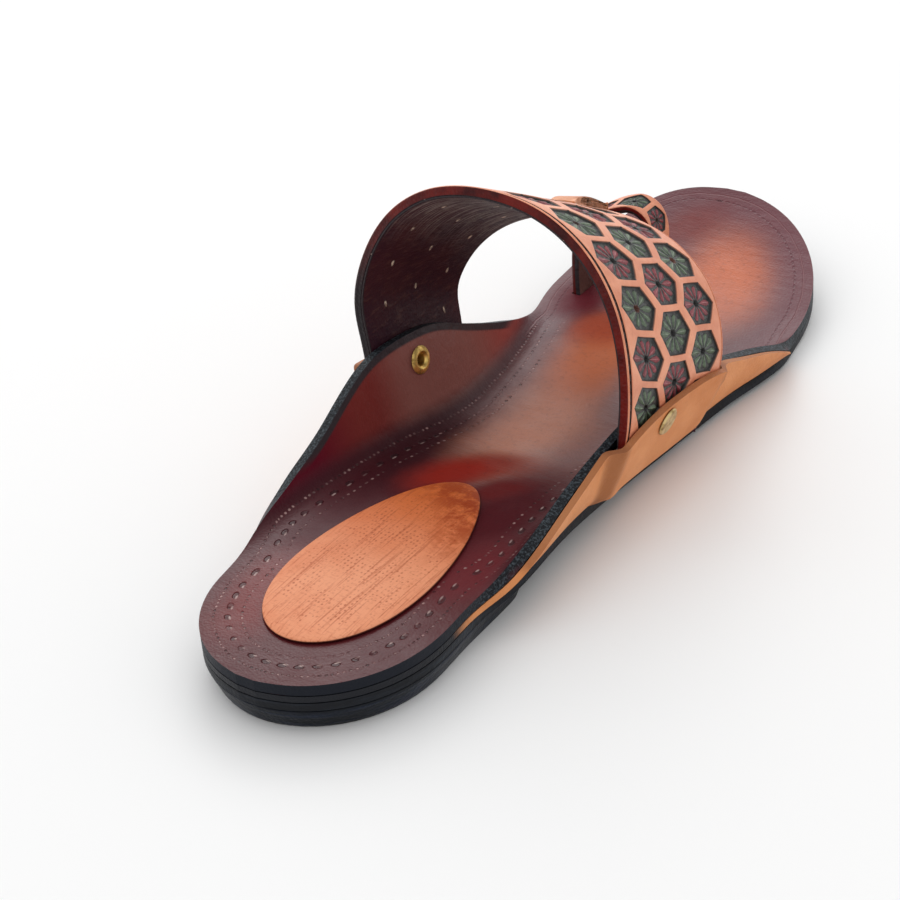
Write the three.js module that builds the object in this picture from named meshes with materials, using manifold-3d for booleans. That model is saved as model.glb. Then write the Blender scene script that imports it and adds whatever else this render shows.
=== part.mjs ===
import * as THREE from 'three';
import Module from 'manifold-3d';
import { mergeVertices } from 'three/addons/utils/BufferGeometryUtils.js';

// A right-foot leather chappal in millimetres: +Y runs from heel to toe, +X to the outer side, +Z up.

// Plan of the sole
const soleLength = 275;
const ballWidth = 81;
const waistWidth = 52;
const heelWidth = 64.8;
const ballShift = -5.5; // the ball lies to the inner side of the line that the table's shifts follow
const toeTipX = -14;
const heelArcLength = 36; // back of the heel to its widest place
const innerToeArcLength = 38;
const outerToeArcLength = 58;
const innerToeSquareness = 2.6; // 2 is an ellipse, more is squarer
const outerToeSquareness = 1.9;

// Side view of the sole
const heelHeight = 6.6;
const heelBlockLength = 82;
const heelTaper = 2.6;
const breastCornerRadius = 6;
const waistDropLength = 65; // behind the ball the sole comes down from the heel over this length
const toeSpring = 12;
const toeSpringLength = 75;

// Leathers
const outsoleThickness = 2.3;
const earThickness = 1.8;
const earSkivedThickness = 0.6; // the ear layer is thinned to this at its front end
const footbedThickness = 3;
const layerGap = 0.3;
const earFrontAt = 0.77; // share of the sole's length
const skiveStartAt = 0.6;
const skiveFadeAt = 0.81;

// Wings of the footbed and ears of the layer below, which stand up along the waist
const edgeLip = 4.2; // from the gutter to the outsole's edge, along the leather
const wingLength = 28.5; // from the outsole's edge to the top of the highest wing
const wingBendRadius = 8;
const innerWingBend = THREE.MathUtils.degToRad(78);
const outerWingBend = THREE.MathUtils.degToRad(72);
const innerWingEdgeThickness = 2.8; // the footbed is thinned to this at the top of its wings
const outerWingEdgeThickness = 2;
const innerEarDrop = 3.2; // the inner ear ends this far below the wing's top, away from the strap
const wingBendsFullyAt = 0.12; // lower wings than this share of wingLength turn up less

// Instep strap
const strapThickness = 3.1;
const strapEndThickness = 1.9; // its ends are thinned in their pockets
const strapEndTaper = 11;
const strapWidth = 46.4; // along the shoe, where the strap enters its pockets
const strapCentreAt = 0.496; // share of the sole's length
const strapRearHeight = 89;
const strapFrontHeight = 62.6;
const strapShoulder = 0.46; // height of the strap's widest place, as a share of its top
const strapInnerBulge = 3; // beyond the wings
const strapOuterBulge = 0.1;
const strapSquareness = 2.24;
const strapRearSkew = 0.044; // the outer side lies further forward
const strapFrontSkew = 0.13;
const strapRearLean = 0.116;
const strapFrontLean = 0.26;
const strapTuck = 9; // its ends stop this far up from the gutter
const pocketRampLength = 4.5; // the ear steps out over the strap's edge within this length
const pocketGap = 0.4;
const pocketEdgeGap = 1.8; // beside the strap's edges
const pocketStart = 5.2; // the step out begins this far up from the gutter, above the outsole's edge
const pocketFloor = 8.2; // and it is complete here, below the strap's end

// Toe loop and the thong that ties it to the strap
const loopThickness = 2.4;
const loopWidth = 10;
const loopHalfSpan = 10.75;
const loopHeight = 27.6; // over the footbed
const loopCentreX = -26;
const loopAt = 0.792; // share of the sole's length
const loopTurn = 0.46; // its outer leg stands further forward
const loopLean = 0.21;
const loopSquareness = 2.26;
const loopLegTaper = 1.6; // each leg leans in by this much at its foot
const thongWidth = 7;
const thongThickness = 2.6;
const thongArch = 2.6;
const thongStartShare = 0.46; // along the strap from its inner end
const thongEndShare = 0.4; // along the loop from its inner end

// Eyelet rivets
const rivetRise = 24; // from the gutter, up the wing
const innerRivetAt = 0.35; // share of the strap's width from its rear edge
const outerRivetAt = 0.42;
const rivetFlangeRadius = 4.25;
const rivetShankRadius = 2.5;
const rivetBoreRadius = 1.7;
const rivetFlangeHeight = 0.9;

// Heel pad
const padLength = 79.6;
const padBackInset = 16.6;
const padBackHalfWidth = 23.5;
const padFrontHalfWidth = 15.2;
const padShift = 1.9;
const padThickness = 1.5;
const padEdgeThickness = 0.9;

// A row for each section of the sole. at is a share of soleLength. heel and ball say how far the
// half width has gone from the waist's to theirs, and shift is a share of ballShift. The wing and
// ear columns are shares of wingLength.
const soleSections = [
  { at: 0.0, heel: 1.0, ball: 0.0, shift: -0.37, innerWing: 0.0, outerWing: 0.0, innerEar: 0.0, outerEar: 0.0 },
  { at: 0.13, heel: 1.0, ball: 0.0, shift: -0.37, innerWing: 0.0, outerWing: 0.0, innerEar: 0.0, outerEar: 0.0 },
  { at: 0.19, heel: 1.04, ball: 0.0, shift: -0.1, innerWing: 0.08, outerWing: 0.0, innerEar: 0.08, outerEar: 0.0 },
  { at: 0.23, heel: 1.0, ball: 0.0, shift: -0.05, innerWing: 0.15, outerWing: 0.07, innerEar: 0.15, outerEar: 0.07 },
  { at: 0.27, heel: 0.88, ball: 0.0, shift: -0.08, innerWing: 0.28, outerWing: 0.19, innerEar: 0.28, outerEar: 0.19 },
  { at: 0.31, heel: 0.68, ball: 0.0, shift: -0.1, innerWing: 0.46, outerWing: 0.3, innerEar: 0.46, outerEar: 0.3 },
  { at: 0.35, heel: 0.5, ball: 0.0, shift: -0.08, innerWing: 0.7, outerWing: 0.43, innerEar: 0.68, outerEar: 0.43 },
  { at: 0.39, heel: 0.33, ball: 0.0, shift: -0.07, innerWing: 0.9, outerWing: 0.55, innerEar: 0.8, outerEar: 0.62 },
  { at: 0.43, heel: 0.15, ball: 0.0, shift: -0.09, innerWing: 0.98, outerWing: 0.67, innerEar: 0.84, outerEar: 0.78 },
  { at: 0.47, heel: 0.03, ball: 0.0, shift: -0.1, innerWing: 1.0, outerWing: 0.75, innerEar: 0.88, outerEar: 0.86 },
  { at: 0.5, heel: 0.0, ball: 0.0, shift: -0.1, innerWing: 0.94, outerWing: 0.8, innerEar: 0.86, outerEar: 0.88 },
  { at: 0.54, heel: 0.0, ball: 0.06, shift: -0.05, innerWing: 0.74, outerWing: 0.82, innerEar: 0.72, outerEar: 0.86 },
  { at: 0.58, heel: 0.0, ball: 0.15, shift: 0.03, innerWing: 0.54, outerWing: 0.74, innerEar: 0.54, outerEar: 0.78 },
  { at: 0.62, heel: 0.0, ball: 0.27, shift: 0.15, innerWing: 0.35, outerWing: 0.6, innerEar: 0.35, outerEar: 0.62 },
  { at: 0.66, heel: 0.0, ball: 0.42, shift: 0.35, innerWing: 0.18, outerWing: 0.46, innerEar: 0.18, outerEar: 0.46 },
  { at: 0.7, heel: 0.0, ball: 0.65, shift: 0.58, innerWing: 0.05, outerWing: 0.34, innerEar: 0.05, outerEar: 0.34 },
  { at: 0.74, heel: 0.0, ball: 0.88, shift: 0.87, innerWing: 0.0, outerWing: 0.17, innerEar: 0.0, outerEar: 0.17 },
  { at: 0.78, heel: 0.0, ball: 0.98, shift: 0.98, innerWing: 0.0, outerWing: 0.03, innerEar: 0.0, outerEar: 0.03 },
  { at: 0.82, heel: 0.0, ball: 1.0, shift: 1.0, innerWing: 0.0, outerWing: 0.0, innerEar: 0.0, outerEar: 0.0 },
  { at: 1.0, heel: 0.0, ball: 1.0, shift: 1.0, innerWing: 0.0, outerWing: 0.0, innerEar: 0.0, outerEar: 0.0 },
];

const inner = -1;
const outer = 1;

const wasm = await Module();
wasm.setup();

function ease(value) {
  const t = THREE.MathUtils.clamp(value, 0, 1);
  return t * t * (3 - 2 * t);
}

// Smooth value of a column between the rows on both sides of a place
function column(name, y) {
  const at = THREE.MathUtils.clamp(y / soleLength, 0, 1);
  const last = soleSections.length - 1;
  const i = Math.min(last - 1, Math.max(0, soleSections.findIndex((row) => row.at > at) - 1));
  const row = (k) => soleSections[THREE.MathUtils.clamp(k, 0, last)];
  const slope = (k) => {
    const run = row(k + 1).at - row(k - 1).at;
    return run > 0 ? (row(k + 1)[name] - row(k - 1)[name]) / run : 0;
  };
  const span = row(i + 1).at - row(i).at;
  const t = (at - row(i).at) / span;
  const start = row(i)[name];
  const end = row(i + 1)[name];
  const value = start * (1 + 2 * t) * (1 - t) ** 2 + slope(i) * span * t * (1 - t) ** 2
    + end * t * t * (3 - 2 * t) + slope(i + 1) * span * t * t * (t - 1);
  return THREE.MathUtils.clamp(value, Math.min(start, end), Math.max(start, end));
}

// X of the sole's edge on one side, flat on the ground
function outlineX(y, side) {
  const waist = waistWidth / 2;
  const straight = (place) => {
    const half = waist + column('heel', place) * (heelWidth / 2 - waist)
      + column('ball', place) * (ballWidth / 2 - waist);
    return column('shift', place) * ballShift + side * half;
  };
  const arcLength = side === inner ? innerToeArcLength : outerToeArcLength;
  const squareness = side === inner ? innerToeSquareness : outerToeSquareness;
  const arcStart = soleLength - arcLength;
  if (y > arcStart) {
    const t = Math.min(1, (y - arcStart) / arcLength);
    return toeTipX + (straight(arcStart) - toeTipX) * (1 - t ** squareness) ** (1 / squareness);
  }
  if (y < heelArcLength) {
    const t = 1 - y / heelArcLength;
    const middle = column('shift', y) * ballShift;
    return middle + (straight(heelArcLength) - middle) * Math.sqrt(1 - t * t);
  }
  return straight(y);
}

const middleX = (y) => (outlineX(y, inner) + outlineX(y, outer)) / 2;
const halfWidth = (y) => (outlineX(y, outer) - outlineX(y, inner)) / 2;
const lipAt = (y) => Math.min(edgeLip, 0.3 * halfWidth(y));
const gutter = (y) => halfWidth(y) - lipAt(y);
const wingShare = (y, side) => column(side === inner ? 'innerWing' : 'outerWing', y);
const earShare = (y, side) => column(side === inner ? 'innerEar' : 'outerEar', y);

// Height of the outsole's underside
function treadHeight(y) {
  const drop = ease((y - heelBlockLength) / waistDropLength);
  const spring = Math.max(0, (y - (soleLength - toeSpringLength)) / toeSpringLength);
  return (heelHeight + layerGap) * (1 - drop) + toeSpring * spring * spring;
}

function earThicknessAt(y) {
  const start = skiveStartAt * soleLength;
  const end = earFrontAt * soleLength;
  return THREE.MathUtils.lerp(earThickness, earSkivedThickness, ease((y - start) / (end - start)));
}

// Room between the footbed and the outsole, which the ear layer fills
function earRoom(y) {
  const end = earFrontAt * soleLength;
  const fade = ease((y - end) / ((skiveFadeAt - earFrontAt) * soleLength));
  return layerGap + (earThicknessAt(y) + layerGap) * (1 - fade);
}

const footbedTop = (y) => treadHeight(y) + outsoleThickness + earRoom(y) + footbedThickness;

const bendOf = (side) => (side === inner ? innerWingBend : outerWingBend);

// Thickness of the footbed at a distance up from the gutter
const wingThickness = (side, run) => THREE.MathUtils.lerp(footbedThickness,
  side === inner ? innerWingEdgeThickness : outerWingEdgeThickness,
  ease((run - edgeLip) / (0.8 * wingLength)));

// Thickness of the strap at a distance up from the gutter, within its pockets
const strapThicknessAt = (run) => THREE.MathUtils.lerp(strapEndThickness, strapThickness,
  ease((run - strapTuck) / strapEndTaper));

// A place on the footbed's upper face, run out from the middle along the leather by reach, and then
// sunk through it by depth. Beyond the gutter the leather turns up on a bend and then goes straight.
function leatherPoint(y, side, reach, depth) {
  const edge = gutter(y);
  const run = reach - edge;
  const base = new THREE.Vector3(middleX(y) + side * Math.min(reach, edge), y, footbedTop(y));
  const turn = Math.max(1e-4, ease(wingShare(y, side) / wingBendsFullyAt));
  const radius = wingBendRadius / turn;
  const bendLength = wingBendRadius * bendOf(side);
  const angle = Math.max(0, Math.min(run, bendLength)) / radius;
  const straight = Math.max(0, run - bendLength);
  base.x += side * ((radius + depth) * Math.sin(angle) + straight * Math.cos(angle));
  base.z += radius - (radius + depth) * Math.cos(angle) + straight * Math.sin(angle);
  return base;
}

// Stations along the sole, close together where its ends turn round
function stations(from, to, extra = []) {
  const list = [];
  for (let angle = 5; angle < 88; angle += 12) {
    list.push(heelArcLength * (1 - Math.cos(THREE.MathUtils.degToRad(angle))));
  }
  const toeStart = soleLength - outerToeArcLength;
  const steps = 26;
  for (let i = 0; i < steps; i += 1) {
    list.push(THREE.MathUtils.lerp(heelArcLength, toeStart, i / steps));
  }
  for (let angle = 0; angle < 80; angle += 11) {
    list.push(toeStart + outerToeArcLength * Math.sin(THREE.MathUtils.degToRad(angle)));
  }
  list.push(toeStart + outerToeArcLength * Math.sin(THREE.MathUtils.degToRad(87)));
  const closest = 1.2;
  const kept = list.filter((y) => y > from + closest && y < to - closest
    && extra.every((place) => Math.abs(place - y) > closest));
  const ends = [Math.max(from, list[0]), Math.min(to, list[list.length - 1])];
  return [...kept, ...extra, ...ends].sort((a, b) => a - b);
}

function turnedOutward(geometry) {
  const at = geometry.attributes.position;
  const order = geometry.index.array;
  const a = new THREE.Vector3();
  const b = new THREE.Vector3();
  const c = new THREE.Vector3();
  let volume = 0;
  for (let i = 0; i < order.length; i += 3) {
    a.fromBufferAttribute(at, order[i]);
    b.fromBufferAttribute(at, order[i + 1]);
    c.fromBufferAttribute(at, order[i + 2]);
    volume += a.dot(b.cross(c));
  }
  if (volume < 0) {
    for (let i = 0; i < order.length; i += 3) {
      [order[i + 1], order[i + 2]] = [order[i + 2], order[i + 1]];
    }
  }
  return geometry;
}

function geometryOf(points, triangles) {
  const geometry = new THREE.BufferGeometry();
  geometry.setAttribute('position', new THREE.Float32BufferAttribute(points.flatMap((p) => [p.x, p.y, p.z]), 3));
  geometry.setIndex(triangles);
  return turnedOutward(geometry);
}

// A closed solid between two grids of points, row by row, with walls all round its edge
function solidBetween(topGrid, bottomGrid) {
  const rows = topGrid.length;
  const across = topGrid[0].length;
  const points = [...topGrid.flat(), ...bottomGrid.flat()];
  const top = (i, j) => i * across + j;
  const bottom = (i, j) => rows * across + i * across + j;
  const triangles = [];
  const quad = (a, b, c, d) => triangles.push(a, b, c, a, c, d);
  for (let i = 0; i < rows - 1; i += 1) {
    for (let j = 0; j < across - 1; j += 1) {
      quad(top(i, j), top(i, j + 1), top(i + 1, j + 1), top(i + 1, j));
      quad(bottom(i, j), bottom(i + 1, j), bottom(i + 1, j + 1), bottom(i, j + 1));
    }
    quad(top(i, 0), top(i + 1, 0), bottom(i + 1, 0), bottom(i, 0));
    quad(top(i + 1, across - 1), top(i, across - 1), bottom(i, across - 1), bottom(i + 1, across - 1));
  }
  for (let j = 0; j < across - 1; j += 1) {
    quad(top(0, j + 1), top(0, j), bottom(0, j), bottom(0, j + 1));
    quad(top(rows - 1, j), top(rows - 1, j + 1), bottom(rows - 1, j + 1), bottom(rows - 1, j));
  }
  return geometryOf(points, triangles);
}

// Places up a wing or ear: fixed ones on a high flange, even ones on a low one
function flangeRuns(flange) {
  const bendEnd = wingBendRadius * outerWingBend;
  const marks = [pocketStart / 2, pocketStart, pocketFloor, bendEnd, bendEnd * 1.6, bendEnd * 2.3, Infinity];
  return marks.map((mark, k) => Math.min(mark, flange * (k + 1) / marks.length));
}

// The outsole's edge is a short flange
const lipRuns = (flange) => [flange / 2, flange];

// One leather of the sole: edgeAt gives its reach on each side and the depths its two faces
function leatherLayer(places, runsOf, edgeAt, topDepth, bottomDepth) {
  const flatShares = [0.5, 1];
  const topGrid = [];
  const bottomGrid = [];
  for (const y of places) {
    const topRow = [];
    const bottomRow = [];
    const add = (side, reach) => {
      topRow.push(leatherPoint(y, side, reach, topDepth(y, side, reach)));
      bottomRow.push(leatherPoint(y, side, reach, bottomDepth(y, side, reach)));
    };
    const reaches = (side) => {
      const edge = gutter(y);
      const flange = edgeAt(y, side) - edge;
      return [...flatShares.map((share) => share * edge), ...runsOf(flange).map((run) => edge + run)];
    };
    for (const reach of reaches(inner).reverse()) {
      add(inner, reach);
    }
    add(outer, 0);
    for (const reach of reaches(outer)) {
      add(outer, reach);
    }
    topGrid.push(topRow);
    bottomGrid.push(bottomRow);
  }
  return solidBetween(topGrid, bottomGrid);
}

function toSolid(geometry) {
  const bare = geometry.clone();
  bare.deleteAttribute('normal');
  bare.deleteAttribute('uv');
  const merged = mergeVertices(bare, 1e-4);
  const mesh = new wasm.Mesh({
    numProp: 3,
    vertProperties: new Float32Array(merged.attributes.position.array),
    triVerts: new Uint32Array(merged.index.array),
  });
  mesh.merge();
  return new wasm.Manifold(mesh);
}

function toGeometry(solid) {
  const mesh = solid.getMesh();
  const geometry = new THREE.BufferGeometry();
  geometry.setAttribute('position', new THREE.BufferAttribute(new Float32Array(mesh.vertProperties), 3));
  geometry.setIndex(new THREE.BufferAttribute(new Uint32Array(mesh.triVerts), 1));
  return geometry;
}

// Y of the strap at a share of its width (0 rear, 1 front), for a place at x and z
function strapY(share, x, z) {
  const lean = THREE.MathUtils.lerp(strapRearLean, strapFrontLean, share);
  const straight = strapCentreAt * soleLength + (share - 0.5) * strapWidth;
  const skew = THREE.MathUtils.lerp(strapRearSkew, strapFrontSkew, share);
  return straight + lean * (z - (strapRearHeight + strapFrontHeight) / 4) + skew * x;
}

// A place in the pocket between wing and ear, in the middle of the strap's wall
function pocketPoint(share, side, run) {
  let y = strapCentreAt * soleLength;
  let point = new THREE.Vector3();
  for (let pass = 0; pass < 4; pass += 1) {
    point = leatherPoint(y, side, gutter(y) + run, wingThickness(side, run) + pocketGap + strapThicknessAt(run) / 2);
    y = strapY(share, point.x, point.z);
  }
  return point;
}

// The strap's middle line at a share of its width: up out of one pocket, over the foot, into the other
function strapPath(share) {
  const lowPoints = (side) => {
    const y = strapY(share, side * waistWidth / 2, strapFrontHeight / 2);
    const top = lipAt(y) + Math.max(wingShare(y, side), earShare(y, side)) * wingLength;
    return [0, 0.5, 1].map((part) => pocketPoint(share, side, THREE.MathUtils.lerp(strapTuck, top, part)));
  };
  const innerPoints = lowPoints(inner);
  const outerPoints = lowPoints(outer);
  const topHeight = THREE.MathUtils.lerp(strapRearHeight, strapFrontHeight, share);
  const shoulder = topHeight * strapShoulder;
  const innermost = innerPoints[2].x - strapInnerBulge;
  const outermost = outerPoints[2].x + strapOuterBulge;
  const middle = (innermost + outermost) / 2;
  const halfSpan = (outermost - innermost) / 2;
  const arch = [];
  for (let angle = 170; angle >= 10; angle -= 20) {
    const cos = Math.cos(THREE.MathUtils.degToRad(angle));
    const sin = Math.sin(THREE.MathUtils.degToRad(angle));
    const x = middle + halfSpan * Math.sign(cos) * Math.abs(cos) ** (2 / strapSquareness);
    const z = shoulder + (topHeight - shoulder) * sin ** (2 / strapSquareness);
    arch.push(new THREE.Vector3(x, strapY(share, x, z), z));
  }
  return new THREE.CatmullRomCurve3([...innerPoints, ...arch, ...outerPoints.reverse()]);
}

// The toe loop's middle line at a share of its width; its legs go down into slots in the footbed
function loopPath(share) {
  const y0 = loopAt * soleLength;
  const ground = footbedTop(y0);
  const top = ground + loopHeight;
  const shoulder = ground + loopHeight / 2;
  const place = (x, z) => {
    const y = y0 + loopTurn * (x - loopCentreX) + loopLean * (z - shoulder) + share * loopWidth;
    return new THREE.Vector3(x, y, z);
  };
  const foot = (side) => {
    const x = loopCentreX + side * (loopHalfSpan - loopLegTaper);
    const y = place(x, ground).y;
    return place(x, footbedTop(y) - footbedThickness);
  };
  const knee = (side) => place(loopCentreX + side * (loopHalfSpan - loopLegTaper / 3), ground + loopHeight / 5);
  const arch = [];
  for (let angle = 175; angle >= 5; angle -= 17) {
    const cos = Math.cos(THREE.MathUtils.degToRad(angle));
    const sin = Math.sin(THREE.MathUtils.degToRad(angle));
    const x = loopCentreX + loopHalfSpan * Math.sign(cos) * Math.abs(cos) ** (2 / loopSquareness);
    arch.push(place(x, shoulder + (top - shoulder) * sin ** (2 / loopSquareness)));
  }
  return new THREE.CatmullRomCurve3([foot(inner), knee(inner), ...arch, knee(outer), foot(outer)]);
}

// A leather band along a family of paths, grown beyond its edges by margin. thicknessAt takes the
// distance to the band's nearer end.
function band(pathAt, steps, rows, thicknessAt, margin = 0) {
  const grid = [];
  for (let j = 0; j <= rows; j += 1) {
    grid.push(pathAt(j / rows).getSpacedPoints(steps));
  }
  const length = pathAt(0.5).getLength();
  const faces = [1, -1].map((sign) => grid.map((line, j) => line.map((point, i) => {
    const thickness = thicknessAt(length * Math.min(i, steps - i) / steps);
    const along = line[Math.min(i + 1, steps)].clone().sub(line[Math.max(i - 1, 0)]);
    const across = grid[Math.min(j + 1, rows)][i].clone().sub(grid[Math.max(j - 1, 0)][i]);
    const edge = j === 0 ? -margin : j === rows ? margin : 0;
    const end = i === 0 ? -margin : i === steps ? margin : 0;
    const normal = along.clone().cross(across).normalize();
    return point.clone()
      .addScaledVector(normal, sign * (thickness / 2 + margin))
      .addScaledVector(across.normalize(), edge)
      .addScaledVector(along.normalize(), end);
  })));
  return solidBetween(faces[0], faces[1]);
}

// The thong from under the strap's front edge to the loop's inner shoulder
function thong() {
  const start = strapPath(0.92).getPointAt(thongStartShare);
  const end = loopPath(0.3).getPointAt(thongEndShare);
  const steps = 12;
  const path = (share) => {
    const points = [];
    const run = end.clone().sub(start);
    const sideways = new THREE.Vector3(run.y, -run.x, 0).normalize();
    for (let i = 0; i <= steps; i += 1) {
      const t = i / steps;
      const point = start.clone().lerp(end, t).addScaledVector(sideways, (0.5 - share) * thongWidth);
      point.z += thongArch * Math.sin(Math.PI * t ** 0.6);
      points.push(point);
    }
    return new THREE.CatmullRomCurve3(points);
  };
  return band(path, steps, 2, () => thongThickness);
}

const rivetPlaces = [inner, outer].map((side) => {
  const y = pocketPoint(side === inner ? innerRivetAt : outerRivetAt, side, rivetRise).y;
  const reach = gutter(y) + rivetRise;
  return {
    side,
    innerFace: leatherPoint(y, side, reach, 0),
    outerFace: leatherPoint(y, side, reach, wingThickness(side, rivetRise) + strapThickness + 2 * pocketGap + earThickness),
  };
});

// Turned solid along the line from the wing's inner face to the ear's outer face
function alongRivet(place, profile, segments) {
  const geometry = new THREE.LatheGeometry(profile, segments);
  const axis = place.outerFace.clone().sub(place.innerFace).normalize();
  const turn = new THREE.Quaternion().setFromUnitVectors(new THREE.Vector3(0, 1, 0), axis);
  geometry.applyQuaternion(turn);
  geometry.translate(place.innerFace.x, place.innerFace.y, place.innerFace.z);
  return geometry;
}

function rivet(place) {
  const grip = place.outerFace.distanceTo(place.innerFace);
  const lip = rivetFlangeHeight;
  const profile = [
    [0, grip], [rivetBoreRadius, grip], [rivetBoreRadius, -lip * 0.4], [rivetBoreRadius * 1.5, -lip - layerGap / 2],
    [rivetFlangeRadius * 0.8, -lip], [rivetFlangeRadius, -layerGap], [rivetShankRadius, -layerGap],
    [rivetShankRadius, grip + layerGap], [rivetFlangeRadius, grip + layerGap],
    [rivetFlangeRadius * 0.86, grip + lip], [0, grip + lip],
  ].map(([radius, along]) => new THREE.Vector2(radius, along));
  return mergeVertices(stripped(alongRivet(place, profile, 18)), 1e-4);
}

function stripped(geometry) {
  geometry.deleteAttribute('normal');
  geometry.deleteAttribute('uv');
  return geometry;
}

const rivetHoles = rivetPlaces.map((place) => {
  const grip = place.outerFace.distanceTo(place.innerFace);
  const radius = rivetShankRadius + layerGap;
  const profile = [[0, -5], [radius, -5], [radius, grip + 5], [0, grip + 5]]
    .map(([across, along]) => new THREE.Vector2(across, along));
  return toSolid(alongRivet(place, profile, 20));
});

const pierced = (solid) => rivetHoles.reduce((rest, hole) => rest.subtract(hole), solid);

const sidesAt = (y, side, share) => gutter(y) + lipAt(y) + share(y, side) * wingLength;

// The inner ear ends below the wing's top away from the strap
function earReach(y, side) {
  const reach = sidesAt(y, side, earShare);
  const drop = side === inner ? innerEarDrop * (1 - pocketShare(y, side, reach)) : 0;
  return reach - drop * ease(earShare(y, side) * 3);
}

function outsole() {
  const depth = (y) => footbedThickness + earRoom(y);
  return leatherLayer(stations(0, soleLength), lipRuns, (y) => halfWidth(y), depth,
    (y) => depth(y) + outsoleThickness);
}

function footbed() {
  const board = leatherLayer(stations(0, soleLength), flangeRuns, (y, side) => sidesAt(y, side, wingShare),
    () => 0, (y, side, reach) => wingThickness(side, reach - gutter(y)));
  const slots = toSolid(band(loopPath, 44, 2, () => loopThickness, layerGap));
  return toGeometry(pierced(toSolid(board)).subtract(slots));
}

// How far the ear steps out to take the strap in, from 0 to 1
function pocketShare(y, side, reach) {
  const run = reach - gutter(y);
  if (run <= 0) {
    return 0;
  }
  const at = (share) => pocketPoint(share, side, Math.max(run, strapTuck)).y;
  const rear = ease((y - (at(0) - pocketEdgeGap - pocketRampLength)) / pocketRampLength);
  const front = ease((at(1) + pocketEdgeGap + pocketRampLength - y) / pocketRampLength);
  return rear * front * ease((run - pocketStart) / (pocketFloor - pocketStart));
}

function earLayer() {
  const step = pocketRampLength / 2;
  const strapEdges = [inner, outer].flatMap((side) => [0, 1].flatMap((share) => {
    const y = pocketPoint(share, side, rivetRise).y;
    const away = share === 0 ? -1 : 1;
    return [-step, 0, step, 2 * step].map((past) => y + away * (pocketEdgeGap + past));
  }));
  const extra = strapEdges.sort((a, b) => a - b).filter((y, i, all) => i === 0 || y - all[i - 1] > 0.7);
  const top = (y, side, reach) => wingThickness(side, reach - gutter(y)) + layerGap
    + pocketShare(y, side, reach) * (strapThicknessAt(reach - gutter(y)) + 2 * pocketGap - layerGap);
  const layer = leatherLayer(stations(0, earFrontAt * soleLength, extra), flangeRuns,
    earReach, top, (y, side, reach) => top(y, side, reach) + earThicknessAt(y));
  return toGeometry(pierced(toSolid(layer)));
}

function upper() {
  const strap = pierced(toSolid(band(strapPath, 56, 5, (away) => strapThicknessAt(strapTuck + away))));
  const loop = toSolid(band(loopPath, 44, 2, () => loopThickness));
  return toGeometry(strap.add(loop).add(toSolid(thong())));
}

// Rings of points that share a middle, closed with a fan at both ends
function solidOfRings(rings, firstMiddle, lastMiddle) {
  const count = rings[0].length;
  const points = [...rings.flat(), firstMiddle, lastMiddle];
  const first = rings.length * count;
  const triangles = [];
  for (let j = 0; j < count; j += 1) {
    const next = (j + 1) % count;
    triangles.push(first, next, j);
    for (let i = 0; i < rings.length - 1; i += 1) {
      const a = i * count;
      triangles.push(a + j, a + next, a + count + next, a + j, a + count + next, a + count + j);
    }
    const last = (rings.length - 1) * count;
    triangles.push(first + 1, last + j, last + next);
  }
  return geometryOf(points, triangles);
}

function heelBlock() {
  const outline = [];
  const places = stations(0, heelBlockLength - breastCornerRadius);
  for (let angle = 18; angle <= 90; angle += 18) {
    places.push(heelBlockLength - breastCornerRadius * (1 - Math.sin(THREE.MathUtils.degToRad(angle))));
  }
  const corner = (y) => {
    const past = Math.max(0, y - heelBlockLength + breastCornerRadius);
    return breastCornerRadius - Math.sqrt(Math.max(0, breastCornerRadius ** 2 - past ** 2));
  };
  for (const y of places) {
    outline.push(new THREE.Vector2(outlineX(y, outer) - corner(y), y));
  }
  for (const y of places.reverse()) {
    outline.push(new THREE.Vector2(outlineX(y, inner) + corner(y), y));
  }
  const centre = new THREE.Vector2(middleX(heelArcLength), heelBlockLength / 2);
  const ring = (inset, z) => outline.map((point) => {
    const way = centre.clone().sub(point).normalize().multiplyScalar(inset);
    return new THREE.Vector3(point.x + way.x, point.y + way.y, z);
  });
  const rings = [ring(heelTaper, 0), ring(0, heelHeight)];
  return solidOfRings(rings, new THREE.Vector3(centre.x, centre.y, 0), new THREE.Vector3(centre.x, centre.y, heelHeight));
}

function heelPad() {
  const centreY = padBackInset + padLength * 0.46;
  const centreX = middleX(centreY) + padShift - column('shift', centreY) * ballShift;
  const count = 44;
  const ring = (share, lift) => {
    const points = [];
    for (let k = 0; k < count; k += 1) {
      const angle = (k / count) * 2 * Math.PI;
      const forward = (1 - Math.cos(angle)) / 2;
      const half = THREE.MathUtils.lerp(padBackHalfWidth, padFrontHalfWidth, forward);
      const x = padShift + half * Math.sin(angle);
      const y = padBackInset + padLength * forward;
      const point = new THREE.Vector3(THREE.MathUtils.lerp(centreX, x, share), THREE.MathUtils.lerp(centreY, y, share), 0);
      point.z = footbedTop(point.y) + layerGap + lift;
      points.push(point);
    }
    return points;
  };
  const middle = (lift) => new THREE.Vector3(centreX, centreY, footbedTop(centreY) + layerGap + lift);
  const rings = [ring(0.45, 0), ring(0.75, 0), ring(0.9, 0), ring(1, 0), ring(1, padEdgeThickness * 0.6),
    ring(0.975, padEdgeThickness), ring(0.85, padThickness * 0.9), ring(0.5, padThickness)];
  return solidOfRings(rings, middle(0), middle(padThickness));
}

function piece(name, geometry, color, roughness, metalness = 0) {
  const material = new THREE.MeshStandardMaterial({ color, roughness, metalness });
  const mesh = new THREE.Mesh(geometry, material);
  mesh.name = name;
  return mesh;
}

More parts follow.
